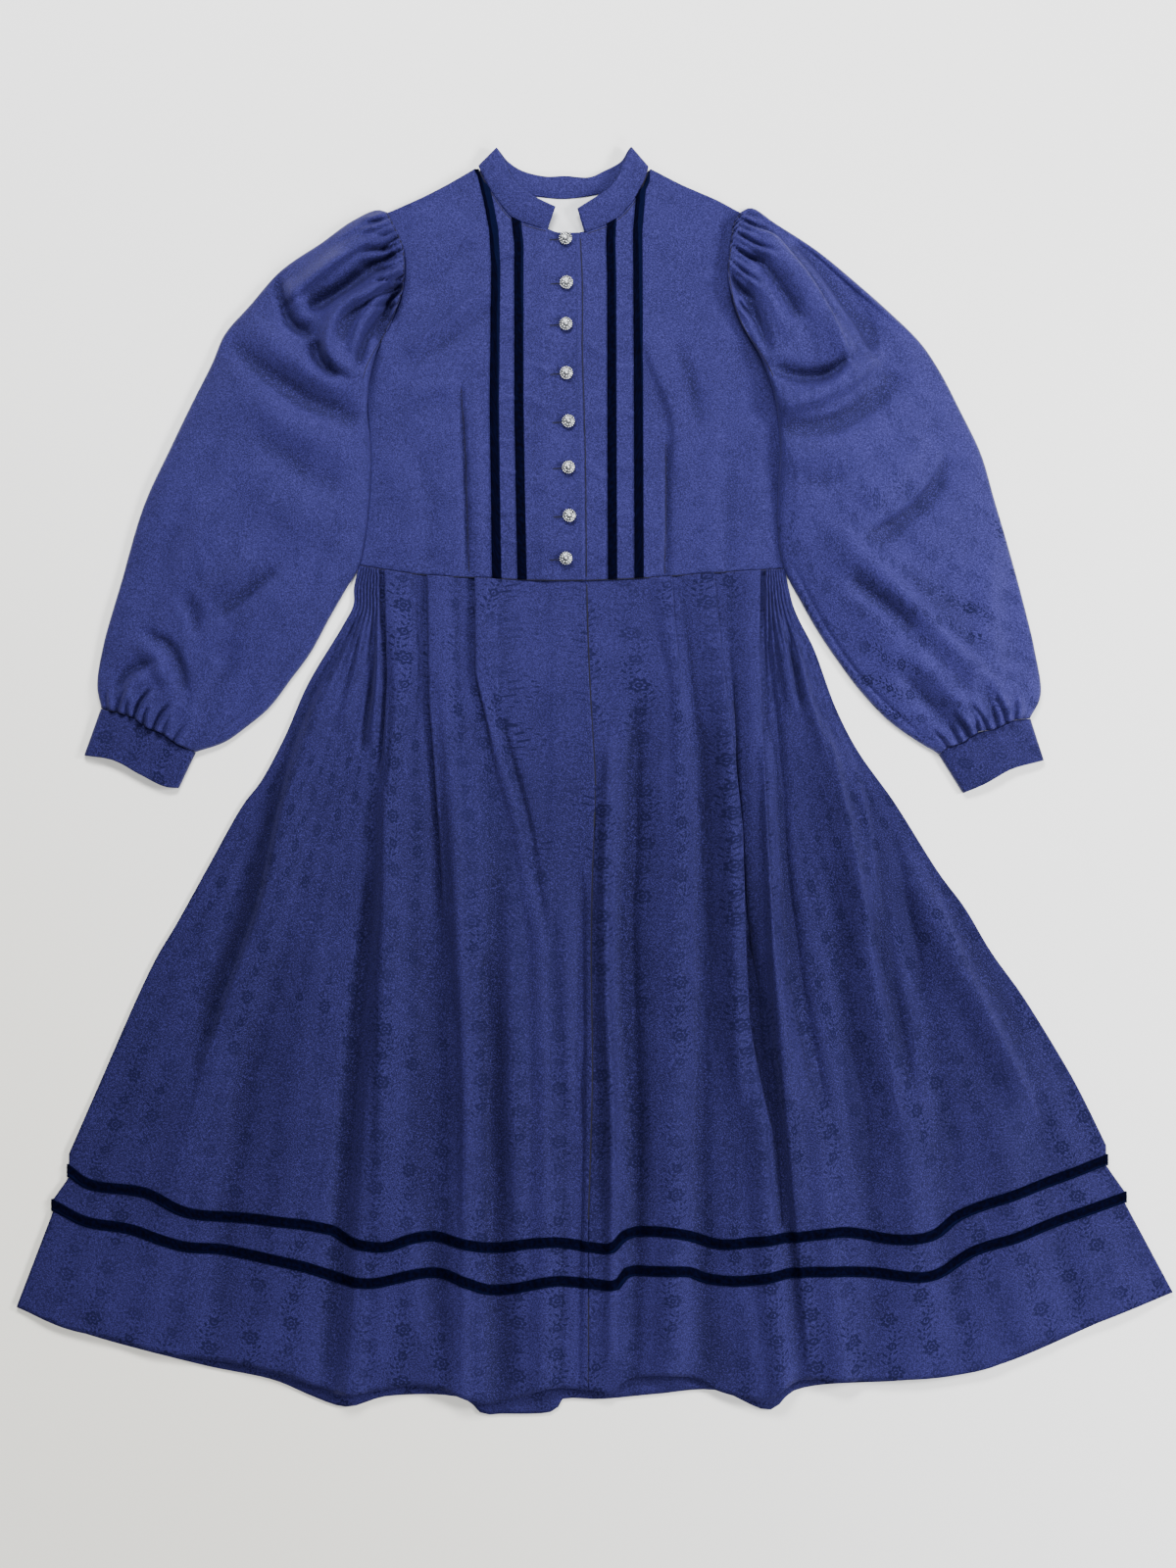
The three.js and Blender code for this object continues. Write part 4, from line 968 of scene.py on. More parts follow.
SLEEVE_LEFT = {
    "head": ARMHOLE_LEFT,
    "outer": [
        (757.6, 216.6), (768, 212), (793, 228), (834, 255), (873, 287), (910, 320), (940, 350),
        (960, 380), (979, 417), (1001, 463), (1014, 508), (1029, 560), (1043, 612), (1055, 663),
        (1061, 710), (1050, 733),
    ],
    "inner": [
        (791.6, 390.4), (797.5, 430), (799, 463), (797, 496), (796, 535), (801, 578), (821, 618),
        (837, 646), (855, 673), (878, 704), (906, 734), (933, 754), (958, 769),
    ],
    "wrist": [
        (1050, 733), (1033, 735), (1011, 744.5), (998, 746.5), (980, 758), (966, 763), (958, 769),
    ],
    "folds": [
        # the puff: an outer band, the long hollow beside it, and the folds from the armhole
        (15.0, 11, 0.85, [(762, 234), (787, 242), (805, 262), (826, 290), (848, 328), (864, 366)]),
        (-19.0, 13, -0.6, [(812, 248), (838, 278), (864, 314), (884, 346), (892, 366)]),
        (9.0, 9, -0.75, [(778, 222), (818, 247), (858, 281), (894, 312), (920, 336)]),
        (-7.0, 7, 0, [(752, 258), (776, 270), (798, 300), (812, 326)]),
        (4.0, 8, 0, [(750, 272), (772, 288), (792, 318), (808, 352)]),
        (-7.0, 6, 0, [(748, 290), (762, 306), (774, 334), (784, 362)]),
        (6.0, 7, 0.3, [(848, 328), (863, 350), (867, 372), (852, 392)]),
        # below the puff: one slanting fold between two hollows
        (11.0, 9, -0.3, [(796, 420), (840, 405), (876, 384), (906, 350)]),
        (-10.0, 8, 0, [(786, 378), (818, 386), (848, 382), (870, 364)]),
        (-8.0, 12, 0.2, [(798, 440), (846, 434), (886, 414), (916, 384)]),
        (2.6, 18, 0, [(806, 474), (852, 462), (904, 436)]),
        (-3.0, 12, 0, [(814, 492), (836, 494), (860, 486)]),
        # the elbow, and the long folds down to the cuff
        (-8.0, 11, -0.5, [(964, 466), (948, 500), (922, 526), (886, 548)]),
        (4.5, 16, 0, [(936, 446), (912, 486), (878, 516)]),
        (7.0, 12, 0.35, [(858, 544), (912, 598), (962, 650), (1016, 704)]),
        (-7.0, 10, 0, [(866, 592), (900, 618), (930, 642)]),
        (-2.6, 2.6, 0.3, [(808, 576), (846, 646), (884, 698), (936, 748)]),
        (-4.5, 9, 0, [(918, 688), (946, 720), (984, 756)]),
        (4.5, 10, 0, [(930, 668), (962, 702), (996, 738)]),
        (-3.5, 14, 0, [(1034, 582), (1030, 630), (1036, 680)]),
        (3.0, 14, 0, [(1010, 560), (1006, 620), (1016, 680)]),
        (-3.0, 9, 0, [(1000, 690), (1006, 714), (1010, 738)]),
        (3.0, 20, 0, [(850, 560), (880, 600), (930, 690)]),
        (-2.5, 18, 0, [(900, 540), (950, 590), (1000, 640)]),
    ],
    "head_gathers": [
        (0.01, 22, -28, 3.0), (0.05, 40, -32, 4.0), (0.09, 26, -34, 3.2), (0.13, 46, -36, 4.4),
        (0.17, 26, -38, 3.2), (0.21, 36, -40, 4.0), (0.25, 26, -44, 3.2), (0.29, 38, -48, 4.2),
        (0.33, 24, -52, 3.0), (0.37, 34, -56, 3.8), (0.41, 26, -60, 3.0), (0.46, 34, -64, 2.8),
    ],
    "wrist_gathers": [
        (0.12, 20, 84, 1.6), (0.22, 28, 104, 2.2), (0.32, 20, 96, 1.7), (0.42, 32, 116, 2.3),
        (0.52, 22, 100, 1.7), (0.62, 28, 118, 2.2), (0.74, 20, 112, 1.6), (0.86, 22, 124, 1.6),
    ],
}
SLEEVE_ROWS = 150
RING_TOP = 110
RING_UNDER = 40
EDGE_HEIGHT = 4.4
ARMHOLE_CLEAR = -0.6
SLEEVE_FOLD_GAIN = 1.3
PRESSED_FROM, PRESSED_ROOM, PRESSED_SLOPE = 28, 8, 9
GATHER_BEND = 14
GATHER_REACH = 14
GROOVE_ASIDE = 4.4
# share of a gather's height, width and lean
GATHER_RIDGE = (1.7, 3.0, 0.3)
GATHER_GROOVE = (-1.9, 2.3, 0)


def ring_places(top, under):
    """Places round a flat tube, closer together at its edges, and which of them are on top."""
    t = np.linspace(0, np.pi, top + 1)
    b = np.linspace(0, np.pi, under + 1)[1:]
    over = 0.5 * (0.6 * (1 - np.cos(t)) + 0.8 * t / np.pi)
    beneath = 0.5 * (1 + np.cos(b))
    return np.concatenate([over, beneath]), np.concatenate([np.ones(top + 1), np.zeros(under)])


def tube_points(patch, rows, top, under, height_at):
    """A tube lying flat on the table, with the given height on top and rounded edges."""
    places, is_top = ring_places(top, under)
    u, v = np.meshgrid(places, np.linspace(0, 1, rows + 1))
    xy = patch(u, v)
    down = v[:, 0]
    width = np.linalg.norm(patch(0 * down, down) - patch(0 * down + 1, down), axis=-1)
    turn = np.minimum(0.2, EDGE_HEIGHT / 2 / width)[:, None]
    near = np.clip(np.minimum(u, 1 - u) / turn, 0, 1)
    rounded = np.sqrt(1 - (1 - near) ** 2)
    over = height_at(xy, u, v)
    level = np.where(is_top > 0, over, BACK_LEVEL)
    z = EDGE_HEIGHT / 2 + (level - EDGE_HEIGHT / 2) * rounded
    return np.concatenate([xy, z[..., None]], -1)


def gathers(xy, seam, rows, side):
    """Small folds that start at a seam, each a ridge with a groove on one side."""
    table = []
    for place, length, degrees, height in rows:
        x, y = seam(np.array(place)) + (SHEET_X, 0)
        y = SHEET_Y - y
        way = math.radians(degrees)
        bend = math.radians(degrees + side * GATHER_BEND)
        middle = (x + 0.5 * length * math.cos(way), y - 0.5 * length * math.sin(way))
        end = (middle[0] + 0.5 * length * math.cos(bend), middle[1] - 0.5 * length * math.sin(bend))
        start = (x - GATHER_REACH * math.cos(way), y + GATHER_REACH * math.sin(way))
        ridge = [start, middle, end]
        groove = [
            (px - GROOVE_ASIDE * math.sin(way), py - GROOVE_ASIDE * math.cos(way)) for px, py in ridge
        ]
        for (share, width, lean), path in ((GATHER_RIDGE, ridge), (GATHER_GROOVE, groove)):
            table.append((share * height, width, lean, path))
    return creases(xy, table)


def pressed(top):
    """Heights with the highest folds pressed flat again above a level."""
    squeezed = PRESSED_FROM + PRESSED_ROOM * np.tanh((top - PRESSED_FROM) / PRESSED_SLOPE)
    return np.where(top > PRESSED_FROM, squeezed, top)


def tube_piece(name, points, side, thickness, material):
    """A tube in place of the node of its name. The left side's columns run the other way."""
    if side > 0:
        points = points[:, ::-1]
    piece = cloth_sheet(f"{name}_cloth", points, measured_map(points), thickness, tube=True)
    return dress_piece(piece, name, material=material)


def sleeve_cloth(name, cut, side, material):
    seam = beside(trace(cut["head"]), side * ARMHOLE_CLEAR)
    cuff_seam = trace(cut["wrist"])
    patch = patch_between(seam, cuff_seam, trace(cut["outer"]), trace(cut["inner"]))

    def height_at(xy, u, v):
        # low at the armhole, fullest just below it, and sinking again towards the cuff
        full = (9 + 10 * ease(0, 0.14, v)) * (1 - 0.42 * ease(0.5, 1, v))
        arch = np.clip(4 * u * (1 - u), 0, 1)
        folds = SLEEVE_FOLD_GAIN * creases(xy, cut["folds"]) * arch ** 0.45
        small = gathers(xy, seam, cut["head_gathers"], side)
        small = small + gathers(xy, cuff_seam, cut["wrist_gathers"], side)
        loose = uneven(xy, scale=60, height=2.2, seed=1.5 + side)
        loose = loose + uneven(xy, scale=22, height=0.8, seed=4.5 + side)
        top = EDGE_HEIGHT + full * arch ** 0.7 + folds + (small + loose) * arch ** 0.4
        return np.maximum(FRONT_LEVEL + SEAM, pressed(top))

    points = tube_points(patch, SLEEVE_ROWS, RING_TOP, RING_UNDER, height_at)
    return tube_piece(name, points, side, CLOTH, material)


sleeve_right = sleeve_cloth("sleeve_right", SLEEVE_RIGHT, -1, bodice_twill)
sleeve_left = sleeve_cloth("sleeve_left", SLEEVE_LEFT, 1, lit_sleeve_twill)

# ---------------------------------------------------------------- cuffs
# Straight cuffs of double twill, as wide as the gathered wrist, each lying as a flat tube. A cuff
# lies flatter towards its free edge.
CUFF_CLOTH = 1.8
CUFF_RIGHT = {
    "seam": [
        (103.9, 723.7), (121, 727.7), (139, 733.7), (151, 742.7), (168, 749.7), (182, 759.8),
        (199.4, 767.6),
    ],
    "edge": [(87, 771), (117, 776), (145, 791), (170, 803), (182, 804)],
}
CUFF_LEFT = {
    "seam": [
        (1050.4, 733.7), (1033, 735.7), (1011, 745.2), (998, 747.2), (980, 758.7), (966, 763.8),
        (958.4, 769.7),
    ],
    "edge": [(1064, 776), (1031, 785), (1004, 800), (983, 809)],
}


def cuff_cloth(name, cut, side):
    patch = patch_across(trace(cut["seam"]), trace(cut["edge"]))

    def height_at(xy, u, v):
        arch = np.clip(4 * u * (1 - u), 0, 1)
        wavy = uneven(xy, scale=20, height=0.8, seed=2.0)
        return EDGE_HEIGHT + (6 - 2.6 * v) * arch ** 0.5 + wavy * arch ** 0.5

    points = tube_points(patch, rows=30, top=60, under=30, height_at=height_at)
    return tube_piece(name, points, side, CUFF_CLOTH, shaded_dress_twill)


cuff_right = cuff_cloth("cuff_right", CUFF_RIGHT, -1)
cuff_left = cuff_cloth("cuff_left", CUFF_LEFT, 1)

# ---------------------------------------------------------------- skirt fronts
# Two fronts sewn together down the middle below a placket. Each has three pleats that open
# into long soft folds, and is drawn in at the side by rows of elastic.
RIBBON_LIFT = 1.4
PLACKET_TUCK = 14
RIBBON_APPROACH = 14
SKIRT_SIDE_RIGHT = [
    (366.5, 577.4), (361.5, 600), (361, 618), (350, 640), (315, 700), (292, 754), (268, 800),
    (250, 824), (217, 884), (183, 947), (160, 987), (102, 1120), (75, 1184),
]
SKIRT_SIDE_LEFT = [
    (800.5, 580.9), (808, 616), (815, 634), (829, 662), (852, 726), (874, 770), (910, 822),
    (956, 897), (982, 933), (1008, 978), (1040, 1024), (1079, 1089), (1096, 1120), (1124, 1179),
]
CENTRE_FRONT = [
    (597, 592.9), (601, 690), (607, 804), (604, 901), (603, 987), (604, 1102), (600, 1260),
]
HEM_RIBBON_RIGHT = {
    "upper": [
        (600, 1271), (561, 1266), (534, 1268), (502, 1272), (470, 1266), (445, 1260), (421, 1262),
        (394, 1270), (362, 1266), (335, 1253), (268, 1243), (193, 1236), (150, 1216), (91, 1207),
        (71, 1194),
    ],
    "lower": [
        (600, 1308), (561, 1306), (534, 1311), (502, 1315), (478, 1307), (454, 1298), (427, 1298),
        (380, 1307), (348, 1303), (308, 1290), (228, 1274), (187, 1270), (134, 1253), (88, 1245),
        (55, 1229),
    ],
}
HEM_RIBBON_LEFT = {
    "upper": [
        (600, 1271), (622, 1272), (641, 1258), (681, 1255), (735, 1268), (770, 1265), (815, 1260),
        (860, 1256), (914, 1263), (951, 1259), (981, 1238), (1034, 1218), (1088, 1198), (1128, 1183),
    ],
    "lower": [
        (600, 1308), (628, 1309), (641, 1297), (668, 1295), (700, 1296), (721, 1303), (756, 1305),
        (820, 1296), (887, 1297), (951, 1300), (994, 1275), (1034, 1262), (1075, 1246), (1147, 1221),
    ],
}
HEM_RIGHT = [
    (600, 1417), (561, 1415), (530, 1424), (493, 1431), (454, 1417), (420, 1412), (375, 1419),
    (348, 1421), (320, 1412), (268, 1395), (206, 1385), (161, 1379), (120, 1366), (70, 1355),
    (17.5, 1333),
]
HEM_LEFT = [
    (600, 1417), (622, 1421), (641, 1406), (705, 1404), (733, 1418), (783, 1426), (811, 1408),
    (874, 1407), (933, 1406), (967, 1403), (1013, 1393), (1048, 1376), (1128, 1345), (1196, 1318),
]
# Each pleat's fold as (y, x), how far it laps, where it has opened, and its height when open.
PLEATS_RIGHT = [
    {
        "line": [
            (592, 485), (688, 486), (764, 504), (845, 528), (962, 548), (1100, 552), (1430, 548),
        ],
        "lap": 11, "ends": 800, "soft": 5,
    },
    {
        "line": [
            (589, 436.5), (718, 439), (835, 448), (947, 455), (1100, 462), (1430, 460),
        ],
        "lap": 12, "ends": 960, "soft": 7,
    },
    {
        "line": [
            (581, 393), (692, 396), (786, 391), (901, 389), (987, 382), (1100, 374), (1430, 352),
        ],
        "lap": 12, "ends": 820, "soft": 8,
    },
]
PLEATS_LEFT = [
    {
        "line": [(588, 685), (637, 688), (700, 694), (850, 700), (1100, 700), (1430, 690)],
        "lap": 11, "ends": 720, "soft": 5,
    },
    {
        "line": [
            (585, 728), (692, 738), (764, 748), (845, 757), (958, 760), (1044, 764), (1150, 784),
            (1290, 790), (1430, 806),
        ],
        "lap": 14, "ends": 1180, "soft": 9,
    },
    {
        "line": [
            (580, 775), (662, 774), (764, 778), (865, 783), (967, 790), (1150, 838), (1430, 868),
        ],
        "lap": 12, "ends": 1000, "soft": 7,
    },
]
# One pleat across: place in laps when folded, place in spreads when open, height of each.
PLEAT_SECTION = np.array([
    (-2.2, -2.2, 0.20, 0.40), (-1.05, -1.1, 0.95, 0.95), (-0.15, -0.4, 1.00, 1.00),
    (0.0, 0.0, 0.78, 0.80), (-0.15, 0.3, 0.56, 0.60), (-0.85, 0.55, 0.50, 0.40),
    (-1.0, 0.8, 0.27, 0.22), (-0.85, 1.1, 0.04, 0.08), (0.5, 1.8, 0.00, 0.00),
])
PLEAT_RISE = 7.0
PUFF = 4.0
SHIRRED_ROWS = 8
SHIRRED_HEIGHT = 4.2
SHIRRING_ENDS = 640
# height, width, lean, path
SKIRT_FOLDS = [
    # left side: the large overlapping fold, the hollow before it, and folds from the gathers
    (12, 17, -0.66, [(328, 692), (304, 764), (286, 845), (271, 916), (248, 982), (208, 1092)]),
    (-6, 16, 0, [(286, 780), (262, 860), (242, 940), (206, 1030)]),
    (5, 8, -0.6, [(376, 628), (352, 662), (326, 712), (304, 760)]),
    (-5, 5, 0, [(366, 632), (346, 662), (316, 708)]),
    (5, 5, 0, [(372, 626), (366, 680), (350, 740)]),
    (-6, 4, 0, [(381, 622), (380, 690), (370, 760)]),
    (6, 5, 0, [(386, 622), (386, 690), (380, 760)]),
    (-9, 4.5, 0.3, [(392, 604), (395, 650), (397, 720), (392, 800)]),
    (6, 26, 0, [(220, 1060), (186, 1180), (146, 1340)]),
    (-5, 20, 0, [(262, 1040), (236, 1200), (220, 1380)]),
    (6, 30, 0, [(330, 860), (306, 1120), (276, 1400)]),
    (-6, 10, -0.3, [(378, 900), (366, 1000), (348, 1180), (330, 1410)]),
    (7, 18, -0.6, [(396, 820), (392, 980), (390, 1180), (384, 1410)]),
    # between the pleats
    (-4, 7, 0.4, [(446, 700), (450, 800), (456, 930), (462, 1040)]),
    (7, 16, -0.6, [(462, 760), (468, 900), (476, 1100), (474, 1420)]),
    (-8, 10, 0, [(494, 980), (498, 1060), (500, 1180), (508, 1425)]),
    (8, 12, -0.3, [(520, 900), (522, 1060), (526, 1220), (534, 1420)]),
    (-6, 7, 0.5, [(496, 690), (514, 750), (534, 820), (556, 940)]),
    (-6, 10, 0, [(560, 940), (566, 1080), (572, 1300), (566, 1425)]),
    (-6, 8, 0.5, [(594, 900), (594, 1040), (592, 1200), (590, 1415)]),
    # beside the centre seam
    (9, 6, 0, [(622, 760), (618, 880), (618, 1000), (624, 1150), (622, 1390)]),
    (-8, 9, 0, [(648, 720), (644, 860), (640, 960), (650, 1180), (646, 1400)]),
    (7, 22, 0, [(682, 700), (684, 860), (676, 1100), (686, 1400)]),
    (-5, 12, 0, [(714, 740), (714, 900), (712, 1180), (720, 1400)]),
    (7, 9, 0.6, [(734, 640), (746, 780), (752, 960), (756, 1120)]),
    # the deep gap on the right and the ridge beyond it
    (-22, 3.6, -0.2, [(764, 950), (767, 1000), (774, 1080), (786, 1160), (794, 1250)]),
    (12, 9, -0.5, [(780, 760), (785, 900), (794, 1060), (806, 1180), (826, 1400)]),
    (-9, 10, 0.2, [(786, 680), (792, 780), (800, 900), (812, 1000), (836, 1120)]),
    (-8, 4, 0, [(780, 600), (781, 660), (784, 740)]),
    (6, 5, 0, [(794, 626), (800, 670), (808, 720)]),
    (-7, 4, 0, [(801, 628), (808, 670), (818, 720)]),
    (6, 6, 0.4, [(810, 640), (822, 700), (840, 760)]),
    # right side: three long overlapping folds
    (11, 15, 0.66, [(838, 735), (856, 800), (872, 876), (886, 957), (898, 1033), (914, 1110)]),
    (-6, 9, 0, [(868, 780), (884, 850), (900, 950), (914, 1040), (932, 1120)]),
    (8, 9, 0.66, [(858, 743), (873, 789), (886, 845), (894, 911), (900, 940)]),
    (-7, 12, 0, [(892, 800), (908, 870), (924, 940), (940, 1020)]),
    (-5, 16, 0, [(850, 900), (860, 1020), (884, 1240), (892, 1400)]),
    (6, 22, 0, [(920, 1095), (928, 1240), (936, 1400)]),
    (-5, 18, 0, [(946, 1040), (966, 1200), (978, 1390)]),
    (10, 15, 0.66, [(944, 892), (982, 981), (1015, 1047), (1052, 1124)]),
    (-6, 10, 0, [(972, 908), (1012, 990), (1046, 1066)]),
    (5, 22, 0, [(1016, 1120), (1032, 1240), (1040, 1370)]),
    (-4, 18, 0, [(1056, 1140), (1080, 1240), (1098, 1350)]),
    (5, 16, 0, [(742, 1240), (756, 1330), (770, 1420)]),
    (5, 16, 0, [(410, 1240), (424, 1330), (444, 1410)]),
]
ROWS_TO_RIBBONS = 118
PLEAT_POINTS = 29
RIDGE_POINTS = 14
# rows to the upper ribbon, over it, between the ribbons, over the lower one, and to the hem
HEM_ROWS = [3, 4, 7, 4, 20]


def skirt_blocks(waist, inner, side, upper, lower, hem):
    """The patches of a skirt panel from waist to hem, each with the v of its rows of points."""
    half = HEM_RIBBON_WIDTH / 2
    above = below(upper, -RIBBON_APPROACH)
    spread_rows = np.linspace(0, 1, ROWS_TO_RIBBONS + 1) ** 1.25
    blocks = [(patch_between(waist, above, inner, side), spread_rows)]
    edges = [below(line, off) for line in (upper, lower) for off in (-half, half)]
    for first, last, count in zip([above, *edges], [*edges, hem], HEM_ROWS):
        blocks.append((patch_across(first, last), np.linspace(0, 1, count + 1)[1:]))
    return blocks


def ribbon_rows(before):
    """The rows of points under a hem ribbon that comes after so many of the stretches."""
    first = ROWS_TO_RIBBONS + sum(HEM_ROWS[:before])
    return slice(first, first + HEM_ROWS[before] + 1)


def hem_lift(block, v):
    """How far the hem is raised, where it lies over the ribbons of the back."""
    return RIBBON_LIFT if block else RIBBON_LIFT * ease(0.9, 1, v)


def pleat_across(count):
    """The section of a pleat at so many even places."""
    places = np.linspace(0, len(PLEAT_SECTION) - 1, count)
    stations = smooth_stations(PLEAT_SECTION, 12)
    along = np.linspace(0, len(PLEAT_SECTION) - 1, len(stations))
    return np.stack([np.interp(places, along, stations[:, k]) for k in range(4)], -1)


PLEAT = pleat_across(PLEAT_POINTS)


def pleat_at(pleat, down):
    """Offsets and heights across a pleat, folded at the waist and open further down."""
    folded = 1 - ease(pleat["ends"] - 140, pleat["ends"], down)
    spread = 4.5 + 6.5 * ease(600, 1100, down)
    off = PLEAT[:, 1] * spread * (1 - folded) + PLEAT[:, 0] * pleat["lap"] * folded
    high = PLEAT[:, 3] * pleat["soft"] * (1 - folded) + PLEAT[:, 2] * PLEAT_RISE * folded
    return off, high * (0.75 + 0.25 * ease(590, 650, down))


def shirring_at(t, down):
    """Ridges between the rows of elastic at the side, running out into loose folds below."""
    height = 1.0 - 0.55 * ease(SHIRRING_ENDS - 26, SHIRRING_ENDS + 14, down)
    height = SHIRRED_HEIGHT * height * (1 - ease(640, 780, down))
    sway = 1.2 * np.sin(down / 2.6) * (1 - ease(615, 625, down))
    ridges = 0.5 - 0.5 * np.cos(2 * np.pi * SHIRRED_ROWS * t + sway * np.sin(9 * t + down / 11))
    return height * ridges * (1 - t ** 8)


def skirt_row(patch, v, pleats, side, start_at):
    """One row across a front: u, the height of pleats and shirring, and how far down it is."""
    ends = patch(np.array([0.0, 1.0]), np.array([v, v]))
    width = np.linalg.norm(ends[1] - ends[0])
    down = SHEET_Y - patch(0.5, v)[1]
    start = start_at(patch, v, width)
    u, extra = [], []
    for k, pleat in enumerate(pleats):
        at = crossing(patch, v, lengthwise(pleat["line"]), side)
        off, high = pleat_at(pleat, down)
        flat = np.linspace(start, at + off[0] / width, 15 if k else 40)
        ramp = np.linspace(0, 1, len(flat)) ** 2
        fresh = slice(1 if k else 0, -1)
        u += [flat[fresh], at + off / width]
        extra += [high[0] * ramp[fresh], high]
        start = at + off[-1] / width
    t = np.linspace(0, 1, RIDGE_POINTS * SHIRRED_ROWS + 1)[1:]
    u.append(start + (1 - start) * t)
    extra.append(shirring_at(t, down))
    return np.concatenate(u), np.concatenate(extra), down


def loose_folds(xy, down):
    """Height of the folds between the pleats, with a slow and a fine unevenness."""
    folds = creases(xy, SKIRT_FOLDS) * (0.75 + 0.3 * ease(600, 860, down))
    folds = folds * (1 - 0.45 * ease(1120, 1300, down)) * ease(590, 606, down)
    fine = uneven(xy * (1, 0.35), scale=26, height=1.0, seed=7.0)
    slow = uneven(xy, scale=70, height=1.6, seed=8.0)
    return PUFF * ease(600, 700, down) + folds + (fine + slow) * ease(590, 700, down)


def along_from_start(steps):
    return np.concatenate([[0 * steps[0]], np.cumsum(steps, 0)])


def skirt_front(blocks, pleats, side, lap, start_at):
    """The points of a front and its cloth map, which runs down each fold from the waist."""
    rows = []
    for block, (patch, downs) in enumerate(blocks):
        for v in downs:
            u, extra, down = skirt_row(patch, v, pleats, side, start_at)
            xy = patch(u, np.full_like(u, v))
            lift = np.full_like(u, hem_lift(block, v))
            rows.append(np.column_stack([xy, u, extra, lift, np.full_like(u, down)]))
    grid = np.array(rows)
    xy = grid[..., :2]
    u, extra, lift, down = np.moveaxis(grid[..., 2:], -1, 0)
    body = np.maximum(0, loose_folds(xy, down)) + extra + lap(xy)
    edge = ease(0.9, 1, u)
    z = FRONT_LEVEL + lift + body * (1 - edge) + extra * edge * 0.3
    points = np.concatenate([xy, z[..., None]], -1)
    round_hem = along_from_start(np.linalg.norm(np.diff(points[-1], axis=0), axis=-1))
    length = along_from_start(np.linalg.norm(np.diff(points, axis=0), axis=-1))
    width = np.broadcast_to(round_hem * side * 0.8 + 1000, length.shape)
    cloth = np.stack([width, length], -1)
    if side < 0:
        points, cloth = points[:, ::-1], cloth[:, ::-1]
    return points, cloth


down_centre = trace(CENTRE_FRONT)


def placket_lap(xy):
    """The right front lies one step higher over the placket, down to its end."""
    return LAP_STEP * ease(-52, -38, xy[..., 0]) * (1 - ease(845, 880, SHEET_Y - xy[..., 1]))


def tucked_start(patch, v, width):
    """The left front starts a tuck's width inside the right one, down to the placket's end."""
    tuck = (PLACKET_TUCK + SEAM) * (1 - ease(795, 830, SHEET_Y - patch(0.0, v)[1]))
    return (SEAM / 2 - tuck) / width


upper_skirt, upper_cloth = skirt_front(
    skirt_blocks(
        below(trace(WAIST_RIGHT), SEAM / 2), down_centre, trace(SKIRT_SIDE_RIGHT),
        trace(HEM_RIBBON_RIGHT["upper"]), trace(HEM_RIBBON_RIGHT["lower"]), trace(HEM_RIGHT),
    ),
    PLEATS_RIGHT, -1, placket_lap, lambda patch, v, width: SEAM / 2 / width,
)
lower_skirt, lower_cloth = skirt_front(
    skirt_blocks(
        below(trace(WAIST_LEFT), SEAM / 2), down_centre, trace(SKIRT_SIDE_LEFT),
        trace(HEM_RIBBON_LEFT["upper"]), trace(HEM_RIBBON_LEFT["lower"]), trace(HEM_LEFT),
    ),
    PLEATS_LEFT, 1, lambda xy: 0 * xy[..., 0], tucked_start,
)
skirt_front_right = dress_piece(
    cloth_sheet("skirt_front_right_cloth", upper_skirt, upper_cloth), "skirt_front_right",
)
skirt_front_left = dress_piece(
    cloth_sheet("skirt_front_left_cloth", lower_skirt, lower_cloth), "skirt_front_left",
)

# ---------------------------------------------------------------- skirt back
# The back of the skirt lies flat on the table, over its own stretch of the hem ribbons. Its hem
# shows a finger's breadth below the front's.
HEM_BACK = [
    (17.5, 1333), (80, 1358), (206, 1392), (281, 1408), (321, 1425), (354, 1435), (395, 1424),
    (475, 1427), (492, 1442), (510, 1442), (568, 1438), (571.5, 1428), (614, 1427), (668, 1422),
    (731, 1418), (786, 1438), (811, 1418), (933, 1407), (1013, 1394), (1128, 1346), (1196, 1318),
]


def skirt_back_points():
    blocks = skirt_blocks(
        below(back_waist, SEAM / 2), trace(SKIRT_SIDE_RIGHT), trace(SKIRT_SIDE_LEFT),
        trace(HEM_RIBBON_RIGHT["upper"][::-1], HEM_RIBBON_LEFT["upper"]),
        trace(HEM_RIBBON_RIGHT["lower"][::-1], HEM_RIBBON_LEFT["lower"]),
        trace(HEM_BACK),
    )
    u = np.linspace(0, 1, 121)
    rows = []
    for block, (patch, downs) in enumerate(blocks):
        for v in downs:
            level = BACK_LEVEL + hem_lift(block, v)
            rows.append(np.column_stack([patch(u, np.full_like(u, v)), np.full_like(u, level)]))
    return np.array(rows)


back_skirt = skirt_back_points()
skirt_back = dress_piece(
    cloth_sheet("skirt_back_cloth", back_skirt, straight_map(back_skirt)), "skirt_back",
)

# ---------------------------------------------------------------- hem ribbons
# Two rings of the same velvet ribbon round the skirt, sewn on flat over front and back and turning
# round the side edges. Each is one closed ring.
HEM_RIBBON_GAP = 0.12


def turn_round(above, beneath, outward):
    """The half turn of a ring round the side edge, from the front's face to the back's."""
    middle = (above + beneath) / 2
    radius = np.linalg.norm(above - beneath, axis=-1)[:, None] / 2
    angles = np.radians([60, 30, 0, -30, -60])
    reach = np.stack([outward * np.cos(angles), 0 * angles, np.sin(angles)], -1)
    return middle[:, None] + radius[:, None] * reach[None]


